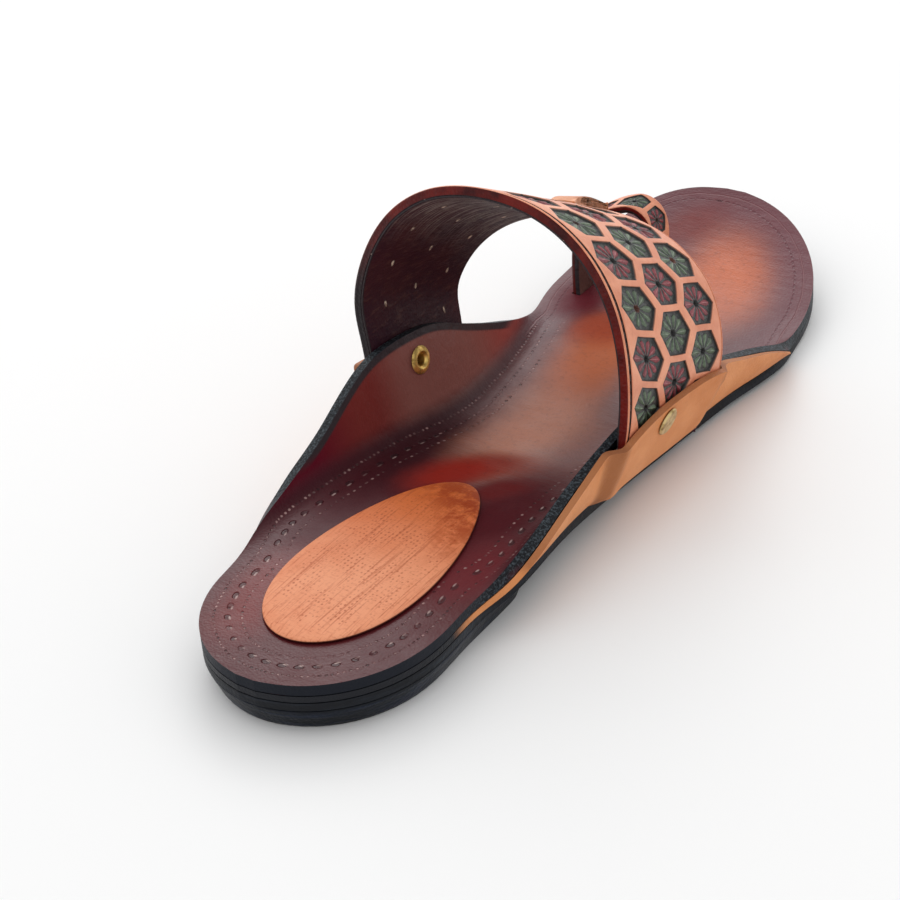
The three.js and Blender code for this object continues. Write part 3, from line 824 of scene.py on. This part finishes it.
def addThong():
    # the tie between strap and loop keeps the solid's shape: a rounded copy, cut where it enters them
    piece = roundedCopy("upper", "toeThong", thongCut["rounding"])
    cuts = []
    for (level, lean, skew), side in ((strapPlane(0.997), 1), (loopPlane(0.01), -1)):
        cuts.append(((0, level, 0), (-skew * side, side, -lean * side)))
    across = Vector((*thongCut["way"], 0))
    for side in (-1, 1):
        cuts.append((across * (thongCut["middle"] + side * thongCut["half"]), -across * side))
    startEdit(piece)
    for spot, way in cuts:
        bpy.ops.mesh.select_all(action="SELECT")
        bpy.ops.mesh.bisect(plane_co=Vector(spot) * mm, plane_no=way, use_fill=True, clear_inner=True)
    endEdit()
    return smoothShade(piece, 50)


thong = addThong()
print("toe loop shaped")

# Finishes of the upper: darker and lighter tones of each leather
upperLook = {
    "tan": (rgb(204, 120, 86), rgb(234, 156, 120)),
    "groove": (rgb(38, 20, 18), rgb(84, 48, 38)),
    "thread": (rgb(34, 18, 18), rgb(70, 40, 34)),
    "edge": (rgb(52, 8, 12), rgb(112, 28, 22)),
    "edgeLow": rgb(28, 20, 24),  # down at the inner pocket
    "edgeFrom": (-0.62, -0.34),  # where the edge turns maroon, along the strap in steps of 100 mm
    "core": (rgb(32, 17, 23), rgb(168, 150, 140)),  # with its thread ends
    "loopLining": (rgb(64, 36, 34), rgb(102, 66, 58)),
    "thong": (rgb(184, 112, 74), rgb(232, 164, 122)),
}
liningLook = {
    "tones": (rgb(44, 16, 32), rgb(66, 30, 36)),
    "hatch": rgb(94, 62, 54),
    "fibres": rgb(150, 138, 132),
    "crown": ((-46, -20), (44, 14)),  # where the fibres come and go, in mm along the strap
    "pricks": rgb(236, 214, 190),
}
flowerLook = {
    "red": (rgb(88, 30, 38), rgb(178, 84, 92)),
    "green": (rgb(48, 62, 48), rgb(116, 136, 108)),
    "veinGlints": (rgb(168, 184, 160), rgb(200, 132, 134)),  # painted highlights along the middle of green and of red petals
    "ground": (rgb(34, 36, 36), rgb(88, 90, 88)),
    # painted shade at the foot of each cell's wall
    "wallFoot": rgb(20, 19, 20),
    "holeShade": (rgb(9, 8, 9), rgb(92, 44, 26)),  # painted shade in the middle hole: black, and brown in some cells
    "ridge": (rgb(208, 124, 90), rgb(236, 160, 124)),
    "ridgeSpecks": rgb(168, 88, 58),
}


def maroonEdgeLeather():
    # burnished cut edge, blacker down towards the inner pocket
    material = newMaterial("maroonEdge")
    along, _, _ = split(mapOf("flatMap"))
    colour = blend(rise(noise(90, 6, 0.62), 0.3, 0.7), *upperLook["edge"])
    colour = blend(rise(along, *upperLook["edgeFrom"]), upperLook["edgeLow"], colour)
    paint(colour, 0.3, leatherGrain(1300, 340), 0.2, 0.18)
    return material


def liningEdgeLeather():
    # dark core with pale thread ends showing
    material = newMaterial("liningEdgeLeather")
    dots = times(rise(pores(620), 0.22, 0.14), rise(noise(260, 3), 0.52, 0.62))
    paint(blend(dots, *upperLook["core"]), 0.6, leatherGrain(900, 500), 0.3)
    return material


def liningLeather():
    # dark lining with a cross-hatched grain, and a pale prick where each flower's hole comes through
    material = newMaterial("liningLeather")
    along, across, _ = split(mapOf("flatMap"))
    along, across = times(along, 100), times(across, 100)
    colour = blend(rise(noise(45, 5, 0.62), 0.32, 0.72), *liningLook["tones"])
    hatch = noise(900, 3, 0.6, place((1, 0.25, 1)))
    colour = blend(rise(hatch, 0.5, 0.75, 0, 0.5), colour, liningLook["hatch"])
    # fibres show pale along the crown
    stretched = newNode("ShaderNodeMapping")
    stretched.inputs["Scale"].default_value = (4, 90, 1)
    feed(stretched.inputs["Vector"], mapOf("flatMap"))
    fibres = rise(noise(1.6, 5, 0.65, stretched.outputs["Vector"]), 0.44, 0.66)
    for start, end in liningLook["crown"]:
        fibres = times(fibres, rise(along, start, end))
    colour = blend(fibres, colour, liningLook["fibres"])
    pitch = strapField["pitch"]
    pricks = 0.0
    for number, middle in enumerate(strapField["columns"]):
        start = strapField["start"] + (pitch / 2 if number == 1 else 0)
        steps = ratio(minus(along, start - pitch / 2), pitch)
        off = times(minus(calc("FRACT", steps), 0.5), pitch)
        far = spanOf(times(off, math.sqrt(0.35)), minus(across, middle))
        pricks = larger(pricks, rise(far, 0.75, 0.35))
    flaw = rise(noise(800, 2), 0.4, 0.6, 0.35, 1)
    colour = blend(times(pricks, flaw), colour, liningLook["pricks"])
    height = plus(times(hatch, 0.8), times(leatherGrain(1300, 420), 0.6))
    height = plus(height, times(pricks, 1.2))
    paint(colour, rise(hatch, 0.3, 0.7, 0.6, 0.46), height, 0.25, 0.2)
    return material


def pressedFlowers(spec, name):
    # dyed petals in each cell, charcoal between them, and tan leather on the ridges; painted highlights along the
    # petals, painted shade at the foot of each wall and in the middle hole
    material = newMaterial(name)
    x, y, _ = split(mapOf("cellMap"))
    x, y = times(minus(x, 0.5), 20), times(minus(y, 0.5), 20)
    # reach is 0 in the middle of a cell and 1 at its wall, petal is 0 on the middle line of a petal
    aside = absolute(x)
    slope = (spec["cellPoint"] - spec["cellFlat"]) / spec["cellAlong"]
    slanted = ratio(plus(absolute(y), times(aside, slope)), spec["cellPoint"])
    reach = larger(ratio(aside, spec["cellAlong"]), slanted)
    turn = ratio(calc("ARCTAN2", y, x), 2 * math.pi)
    turn = plus(turn, times(minus(noise(420, 2), 0.5), 0.03))
    petal = absolute(minus(calc("FRACT", times(turn, spec["petals"])), 0.5))
    opening = times(rise(reach, 0.1, 0.5, 0.14, 0.38), rise(reach, 0.9, 0.7))
    mask = times(rise(minus(opening, petal), 0.0, 0.1), rise(reach, 0.15, 0.22))
    # a pale line along each petal's middle: painted highlight, with a slight ridge in the relief
    glintVein = times(rise(petal, 0.09, 0.02), rise(reach, 0.85, 0.5))
    grain = noise(1400, 3, 0.6)
    tint = attribute("tint")
    ground = blend(rise(grain, 0.35, 0.75), *flowerLook["ground"])
    dyed = blend(tint, blend(grain, *flowerLook["green"]), blend(grain, *flowerLook["red"]))
    glinted = times(glintVein, rise(grain, 0.35, 0.6, 0.25, 0.8))
    dyed = blend(glinted, dyed, blend(tint, *flowerLook["veinGlints"]))
    # petals rubbed back to the ground colour in patches
    patchShare = rise(noise(160, 4), 0.4, 0.75, 0, 0.45)
    colour = blend(mask, ground, blend(patchShare, dyed, ground))
    # the middle hole is painted dark as painted shade, brown in some cells
    holeShade = blend(rise(attribute("holeMix"), 0.75, 0.95), *flowerLook["holeShade"])
    colour = blend(rise(reach, 0.2, 0.15), colour, holeShade)
    # painted shade just inside each cell's wall
    colour = blend(times(rise(reach, 0.88, 0.95), 0.75), colour, flowerLook["wallFoot"])
    tan = blend(rise(noise(70, 6, 0.6), 0.3, 0.7), *flowerLook["ridge"])
    tan = blend(rise(grain, 0.55, 0.85, 0, 0.45), tan, flowerLook["ridgeSpecks"])
    colour = blend(rise(reach, 0.975, 1.015), colour, tan)
    relief = plus(times(mask, minus(1.0, times(petal, 1.6))), times(glintVein, 0.2))
    relief = plus(relief, times(leatherGrain(1700, 420), 0.14))
    paint(colour, rise(reach, 0.9, 1.02, 0.46, 0.4), relief, 0.55)
    return material


strapTan = plainLeather("strapTan", upperLook["tan"], 0.42, 1500, 300, 0.14, 60)
grooveThread = plainLeather("grooveThread", upperLook["groove"], 0.6, 1200, 500, 0.3, 300)
maroonEdge = maroonEdgeLeather()
lining = liningLeather()
liningEdge = liningEdgeLeather()
loopLining = plainLeather("loopLining", upperLook["loopLining"], 0.5, 1200, 380, 0.25)
coat(strapCarving, pressedFlowers(strapField, "pressedFlowers"))
coat(strapLeather, strapTan, grooveThread, maroonEdge, liningEdge, lining)
coat(strapStitches, plainLeather("waxedThread", upperLook["thread"], 0.5, 2400, 900, 0.2, 400))
coat(loopCarving, pressedFlowers(loopField, "pressedSmallFlowers"))
coat(loopLeather, strapTan, grooveThread, maroonEdge, liningEdge, loopLining)
coat(thong, plainLeather("rawThong", upperLook["thong"], 0.6, 700, 420, 0.4, 120, 0.6))
for piece in (strapCarving, strapStitches, strapLeather, loopCarving, loopLeather, thong):
    replaced = ["upper"] if piece == strapLeather else []
    finishPiece(piece, "strap_leather", *replaced)
print("upper finished")

# Plan outline of the sole, which the punched rows and the dyed edge of the footbed follow
def soleOutline():
    places = vertexArray(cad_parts["outsole"]) / mm
    stations = {}
    for x, y, _ in places:
        stations.setdefault(round(y, 1), []).append(x)
    rows = [(y, min(xs), max(xs)) for y, xs in sorted(stations.items()) if len(xs) > 5]
    left = [(low, y) for y, low, _ in rows]
    right = [(high, y) for y, _, high in rows]
    return np.array(left[::-1] + right + left[-1:]), rows


outline, outlineRows = soleOutline()


def measureRim(places):
    # how far a place lies in from the outline, and how far round it from the inner toe over the heel
    starts, ends = outline[:-1], outline[1:]
    runs = ends - starts
    lengths = np.linalg.norm(runs, axis=1)
    begin = np.r_[0, np.cumsum(lengths)][:-1]
    best = np.full(len(places), 1e9)
    rounded = np.zeros(len(places))
    for a, run, length, first in zip(starts, runs, lengths, begin):
        if length < 1e-6:
            continue
        t = np.clip(((places - a) @ run) / length ** 2, 0, 1)
        far = np.linalg.norm(places - (a + t[:, None] * run), axis=1)
        nearer = far < best
        best = np.where(nearer, far, best)
        rounded = np.where(nearer, first + t * length, rounded)
    ys = np.array([row[0] for row in outlineRows])
    left = np.interp(places[:, 1], ys, [row[1] for row in outlineRows])
    right = np.interp(places[:, 1], ys, [row[2] for row in outlineRows])
    inside = (places[:, 0] > left) & (places[:, 0] < right)
    return np.where(inside, best, -best), rounded


footbedLook = {
    "rounding": 0.4,
    "edgeInk": 2.2,  # how far the inked edge reaches down the wings' rims
    "rows": (3.9, 7.4, 11.0),  # punched rows, in from the outline
    "ground": (rgb(94, 36, 40), rgb(116, 46, 40)),
    # dye: middle x and y, half length and half width, turn, colour, strength, how matt it is; the one beside the toe
    # loop's leg is partly painted shadow
    "dyesAndShadow": [
        ((-22, -66), (32, 14), 100, (90, 26, 32), 0.95, 0.3),
        ((-15, -108), (24, 13), 100, (156, 46, 38), 0.85, 0),
        ((-22, -28), (40, 10), 92, (60, 0, 12), 1.0, 0.7),
        ((-20, 24), (36, 13), 90, (136, 84, 82), 1.0, 0.2),
        ((18, -8), (30, 13), 90, (150, 78, 62), 0.9, 0.2),
        ((-3, 2), (44, 17), 94, (232, 134, 84), 1.0, 0.2),
        ((4, -26), (14, 10), 40, (178, 58, 20), 0.95, 0.7),
        ((-5, -37), (18, 10), 60, (196, 40, 0), 1.0, 1.0),
        ((20, -48), (36, 13), 84, (94, 0, 12), 1.0, 1.0),
        ((12, -38), (12, 6), 60, (136, 16, 6), 0.8, 1.0),
        ((28, -74), (20, 10), 80, (136, 32, 38), 0.9, 0.5),
        ((10, 110), (52, 44), 100, (116, 54, 64), 1.0, 0),
        ((-8, 42), (30, 15), 100, (238, 122, 54), 1.0, 0.5),
        ((-15, 60), (15, 13), 90, (210, 84, 28), 0.95, 0.8),
        # partly dye, partly painted shadow beside the toe loop's leg
        ((-32, 72), (15, 11), 100, (124, 0, 24), 1.0, 0.8),
        ((-20, 119), (16, 10), 60, (136, 46, 38), 0.8, 0.3),
        ((3, 93), (32, 19), 106, (238, 122, 66), 1.0, 0),
    ],
    "fleck": rgb(40, 6, 12),
    "wingRear": rgb(98, 10, 34),
    # further forward on the wings: where each tone comes in along the shoe; the greyish middle tone is painted sheen
    "wings": [(-62, -36, rgb(128, 50, 46)), (-34, -18, rgb(150, 94, 86)), (8, 34, rgb(160, 74, 66))],
    # painted shade at the foot of each wing, where it rises from the footbed
    "wingFootShade": rgb(54, 4, 18),
    "toeRim": rgb(98, 44, 54),
    # punch marks: painted shade inside them; dots: dark pricks mixed with pale painted glints; glints: painted
    # highlight
    "shadedPunches": rgb(36, 10, 16),
    "dots": (rgb(30, 10, 14), rgb(186, 150, 146)),
    "glints": rgb(206, 178, 172),
    "ticks": rgb(60, 26, 34),
    "toeLine": rgb(160, 112, 112),
    "ink": (rgb(12, 14, 20), rgb(66, 74, 80)),
    "heelInk": rgb(10, 16, 28),
    "wingRim": rgb(58, 52, 56),
}


def burnishedLeather():
    # hand-dyed top: dark maroon, rubbed back to orange in places, inked at its edges, with punched rows; painted
    # sheen and shade on the wings, painted shade and glints in the rows, and a painted shadow beside the toe loop
    material = newMaterial("burnishedLeather")
    x, y, _ = millimetres()
    drift = times(minus(noise(22, 4, 0.6), 0.5), 12.0)
    x, y = plus(x, drift), plus(y, times(drift, 0.6))
    rim, rounded, wing, top = attribute("rim"), attribute("round"), attribute("wing"), attribute("top")
    colour = blend(rise(noise(30, 5), 0.3, 0.7, 0, 0.4), *footbedLook["ground"])
    matt = 0.0
    for spot, radii, turn, tone, strength, dull in footbedLook["dyesAndShadow"]:
        near = rise(fromOval(x, y, spot, radii, turn), 1.25, 0.25)
        colour = blend(times(near, strength), colour, rgb(*tone))
        matt = plus(times(matt, minus(1.0, near)), times(near, dull))
    colour = blend(rise(noise(620, 4, 0.65), 0.5, 0.72, 0, 0.22), colour, footbedLook["fleck"])
    # wing colour: dye, with a greyish painted sheen on the middle of the wings and painted shade at their foot
    wingDyeSheenShade = footbedLook["wingRear"]
    for start, end, tone in footbedLook["wings"]:
        wingDyeSheenShade = blend(rise(y, start, end), wingDyeSheenShade, tone)
    wingDyeSheenShade = blend(rise(wing, 1, 7), footbedLook["wingFootShade"], wingDyeSheenShade)
    colour = blend(rise(wing, -3.5, 3), colour, wingDyeSheenShade)
    toeRim = times(rise(rim, 17, 4), rise(y, 34, 66))
    colour = blend(times(toeRim, 0.6), colour, footbedLook["toeRim"])

    # punched rows
    rows = footbedLook["rows"]
    level = plus(rim, times(minus(noise(60, 2), 0.5), 1.1))

    def rowOf(at, period, long, wide, soft, phase=0.0):
        # marks at a distance from the outline, one in each period, with their half length and half width
        steps = plus(ratio(rounded, period), phase)
        off = times(minus(calc("FRACT", steps), 0.5), period / long)
        return rise(spanOf(off, ratio(minus(level, at), wide)), 1 + soft, 1 - soft)
    behind = rise(y, 66, 40)
    atHeel = rise(y, -14, -34)
    uneven = rise(noise(150, 3), 0.36, 0.6, 0.25, 1)
    dots = larger(rowOf(rows[0], 1.7, 0.42, 0.3, 0.4), rowOf(rows[2], 2.3, 0.45, 0.34, 0.4, 0.3))
    seat = times(rowOf(rows[1], 2.1, 0.5, 0.32, 0.4, 0.2), rise(y, -34, -20))
    dots = times(times(larger(dots, seat), uneven), behind)
    # punch marks are coloured dark as painted shade inside each punch, besides their dent in the relief
    shadedPunches = rowOf(rows[1], 6.0, 1.35, 0.75, 0.25, 0.5)
    shadedPunches = times(shadedPunches, times(atHeel, rise(uneven, 0.25, 0.7, 0.45, 1)))
    # glints: a painted highlight beside each punch
    glints = times(times(rowOf(rows[1] + 0.55, 6.0, 0.75, 0.26, 0.5, 0.38), uneven), atHeel)
    ticks = times(rowOf(5.6, 2.5, 0.85, 0.3, 0.4), rise(y, 46, 58, 0, 0.5))
    toeLine = times(rise(absolute(minus(rim, 3.1)), 0.35, 0.1), rise(y, 36, 56))
    # dots: dark pricks, with pale specks that are painted glints
    dotTone = blend(rise(noise(340, 2), 0.4, 0.62), *footbedLook["dots"])
    marks = [(shadedPunches, 0.6, footbedLook["shadedPunches"]), (dots, 0.7, dotTone), (glints, 0.75, footbedLook["glints"]),
             (ticks, 0.5, footbedLook["ticks"]), (toeLine, 0.2, footbedLook["toeLine"])]
    for mark, strength, tone in marks:
        colour = blend(times(mark, strength), colour, tone)

    # inked edge and rims
    ink = blend(rise(noise(1500, 4, 0.7), 0.46, 0.62), *footbedLook["ink"])
    ink = blend(rise(y, -70, -105), ink, footbedLook["heelInk"])
    edgeInk = footbedLook["edgeInk"]
    onRim = times(rise(attribute("drop"), edgeInk + 0.4, edgeInk - 0.4), rise(wing, 5, 9))
    colour = blend(onRim, colour, footbedLook["wingRim"])
    colour = blend(top, ink, colour)
    gloss = rise(noise(90, 5, 0.6), 0.3, 0.7, 0.36, 0.28)
    gloss = plus(plus(gloss, times(minus(1.0, top), 0.25)), times(matt, 0.5))

    # relief: pores, fine creases across the waist, and the punched rows
    crease = noise(260, 5, 0.6, place((0.25, 1, 1), 20))
    waist = times(rise(y, -60, -30), rise(y, 30, 0, 0.35, 1))
    height = plus(times(leatherGrain(1500, 260), 0.2), times(crease, plus(0.3, times(waist, 0.8))))
    for mark, depth in ((shadedPunches, 1.0), (dots, 0.5), (ticks, 0.5), (toeLine, 0.3)):
        height = minus(height, times(mark, depth))
    paint(colour, gloss, height, 0.35, 0.22)
    return material


def footbedZones(piece):
    places = vertexArray(piece) / mm
    xs, ys, zs = places.T
    rim, rounded = measureRim(places[:, :2])
    setAttribute(piece, "rim", rim)
    setAttribute(piece, "round", rounded)
    # height over the flat part of the same section tells how far up a wing a place is
    flat = places[np.abs(xs) < 9]
    stations = np.arange(-140, 141, 4.0)
    levels = []
    for y in stations:
        near = flat[(flat[:, 1] > y - 4) & (flat[:, 1] < y + 4), 2]
        levels.append(near.max() if len(near) else flat[:, 2].max())
    wing = zs - np.interp(ys, stations, levels)
    setAttribute(piece, "wing", wing)
    # how far a place lies under the rim of its own side
    centre = np.interp(ys, [row[0] for row in outlineRows], [(row[1] + row[2]) / 2 for row in outlineRows])
    drop = np.zeros(len(places))
    for side in (-1, 1):
        own = (xs - centre) * side > 0
        rimLine = {}
        for _, y, z in places[own]:
            key = round(y / 2)
            if key not in rimLine or z > rimLine[key][1]:
                rimLine[key] = (y, z)
        line = np.array([rimLine[key] for key in sorted(rimLine)])
        drop[own] = np.interp(ys[own], line[:, 0], line[:, 1]) - zs[own]
    setAttribute(piece, "drop", drop)
    # the top face is dyed; walls and rims are inked
    normals = vertexArray(piece, "normal")
    inward = -np.sign(xs - centre) * normals[:, 0]
    rising = ease(wing, 0.5, 6)
    facing = normals[:, 2] * (1 - rising) + (inward * 0.93 + normals[:, 2] * 0.3) * rising
    setAttribute(piece, "top", ease(facing, 0.45, 0.75))


footbed = dressNode("footbed", "footbedLeather", "burnished_leather", burnishedLeather(), footbedLook["rounding"])
footbedZones(footbed)
print("footbed finished")

earLook = {
    "rounding": 0.25,
    "tan": (rgb(200, 122, 66), rgb(226, 152, 98)),
    "streaks": rgb(168, 96, 50),
    # painted shade in the creases beside the strap's pockets
    "pockets": rgb(104, 54, 28),
    "edge": rgb(128, 74, 44),
    "specks": rgb(160, 92, 50),
    "heelInk": rgb(20, 22, 29),
    "inkFrom": (-84, -98),  # along the shoe
}


def earLeatherFinish():
    # natural tan layer, inked round the heel, with painted shade along the creases beside the pockets of the strap
    material = newMaterial("earTan")
    x, y, z = millimetres()
    patch = noise(26, 6, 0.6)
    colour = blend(rise(patch, 0.3, 0.7), *earLook["tan"])
    streaks = noise(150, 4, 0.6, place((1, 0.2, 0.5)))
    colour = blend(rise(streaks, 0.5, 0.8, 0, 0.5), colour, earLook["streaks"])
    # painted shade along the creases just behind and in front of the strap
    for share, off in ((0.0, -4.0), (1.0, 4.0)):
        level, lean, skew = strapPlane(share)
        plane = plus(level + off, plus(times(z, lean), times(x, skew)))
        colour = blend(rise(absolute(minus(y, plane)), 5.0, 0.6, 0, 0.55), colour, earLook["pockets"])
    colour = blend(times(rise(attribute("edge"), 0.15, 0.7), 0.6), colour, earLook["edge"])
    colour = blend(rise(noise(1500, 3, 0.6), 0.55, 0.8, 0, 0.35), colour, earLook["specks"])
    inked = plus(y, times(minus(noise(120, 3), 0.5), 10))
    colour = blend(rise(inked, *earLook["inkFrom"]), colour, earLook["heelInk"])
    height = plus(leatherGrain(1500, 300), times(streaks, 0.6))
    paint(colour, rise(patch, 0.3, 0.7, 0.58, 0.48), height, 0.16, 0.25)
    return material


ear = dressNode("ear_layer", "earLeather", "tan_leather", earLeatherFinish(), earLook["rounding"])
setAttribute(ear, "edge", ease(vertexArray(ear, "normal")[:, 2], 0.5, 0.9))  # 1 where the thin edge faces up

soleLook = {
    "rounding": 0.4,
    "heelRounding": 0.5,
    # each pair: near-black ink, then a lighter slaty tone that is painted sheen
    "ink": (rgb(10, 13, 20), rgb(30, 36, 46)),
    "heelInk": (rgb(3, 8, 18), rgb(16, 28, 50)),
    "flecks": rgb(74, 82, 94),
}


def inkedLeather(name, inkAndSheen, roughness, streak=1.0):
    # edge ink over layered leather: near-black, with a lighter slaty painted sheen in streaks along the layers and in
    # patches
    material = newMaterial(name)
    layers = noise(420, 4, 0.6, place((0.12, 0.12, 1.6)))
    # patches of painted sheen, which are also made glossier
    patchShare = noise(60, 6, 0.65)
    colour = blend(rise(layers, 0.42, 0.75, 0, streak), *inkAndSheen)
    colour = blend(rise(patchShare, 0.56, 0.8, 0, 0.7), colour, inkAndSheen[1])
    colour = blend(rise(noise(1300, 3, 0.7), 0.66, 0.78, 0, 0.5), colour, soleLook["flecks"])
    height = plus(times(layers, 0.7), times(leatherGrain(900, 380), 0.5))
    paint(colour, rise(patchShare, 0.3, 0.75, roughness + 0.08, roughness - 0.06), height, 0.3, 0.22)
    return material


soleInk = inkedLeather("soleInk", soleLook["ink"], 0.46)
dressNode("outsole", "outsoleLeather", "black_leather", soleInk, soleLook["rounding"])
heelInk = inkedLeather("heelInk", soleLook["heelInk"], 0.38, 0.8)
dressNode("heel_block", "heelStack", "black_leather", heelInk, soleLook["heelRounding"], 1)

padLook = {
    "rounding": 0.25,
    "turn": 8.0,  # of its nap, in degrees
    "back": (rgb(218, 132, 92), rgb(232, 156, 118)),
    "front": rgb(208, 104, 46),
    "streaks": rgb(172, 82, 46),
    "rungs": rgb(172, 84, 48),
    "pricks": rgb(156, 66, 34),
    "rub": rgb(158, 58, 10),
    # rubbed places: middle, half sizes, strength
    "rubs": [((12, -52), (9, 17), 1.0), ((3, -48), (11, 9), 0.85), ((16, -66), (5, 14), 0.55)],
    # side walls: the cut edge's darker colour with painted shade
    "wall": rgb(72, 26, 18),
}


def padLeatherFinish():
    # split leather: close cross-hatched nap, long streaks, and brown rub near the front
    material = newMaterial("padLeather")
    turn = padLook["turn"]
    streaks = noise(1500, 4, 0.6, place((1, 0.03, 1), turn))
    rungs = noise(1700, 3, 0.55, place((0.35, 1, 1), turn))
    x, y, _ = millimetres()
    colour = blend(rise(noise(34, 5, 0.6), 0.3, 0.7), *padLook["back"])
    colour = blend(rise(y, -96, -46), colour, padLook["front"])
    colour = blend(rise(streaks, 0.5, 0.7, 0, 0.6), colour, padLook["streaks"])
    colour = blend(rise(rungs, 0.52, 0.72, 0, 0.3), colour, padLook["rungs"])
    pricks = rise(pores(800, place((1, 0.8, 1), turn), 0.35), 0.3, 0.16)
    pricks = times(pricks, rise(noise(130, 4, 0.6), 0.36, 0.62, 0.1, 0.6))
    colour = blend(pricks, colour, padLook["pricks"])
    rough = rise(noise(210, 5, 0.7), 0.38, 0.6)
    for spot, radii, strength in padLook["rubs"]:
        near = rise(fromOval(x, y, spot, radii), 1.25, 0.2, 0, strength)
        colour = blend(times(near, rough), colour, padLook["rub"])
    # side walls darkened: partly the cut edge's own colour, partly painted shade
    colour = blend(attribute("wall"), colour, padLook["wall"])
    paint(colour, 0.6, plus(times(streaks, 0.8), times(rungs, 0.5)), 0.22, 0.2)
    return material


pad = dressNode("heel_pad", "heelPatch", "pad_leather", padLeatherFinish(), padLook["rounding"])
# 1 on the side walls, which get the darker edge colour and painted shade
setAttribute(pad, "wall", 1 - ease(vertexArray(pad, "normal")[:, 2], 0.35, 0.8))
print("sole finished")

rivetLook = {
    "rounding": 0.15,
    "inner": (rgb(255, 220, 132), 0.42),  # colour and roughness
    "outer": (rgb(214, 190, 136), 0.3),
    "tarnish": rgb(126, 94, 44),
}


def brassMetal(name, light, roughness):
    material = newMaterial(name)
    tarnish = noise(400, 5, 0.6)
    colour = blend(rise(tarnish, 0.4, 0.75), light, rivetLook["tarnish"])
    paint(colour, rise(tarnish, 0.3, 0.8, roughness, roughness + 0.2), noise(1500, 4), 0.05, metal=1.0)
    return material


for side in ("inner", "outer"):
    brass = brassMetal(side + "Brass", *rivetLook[side])
    dressNode("eyelet_" + side, side + "Rivet", "brass", brass, rivetLook["rounding"], 1)
print("rivets finished")
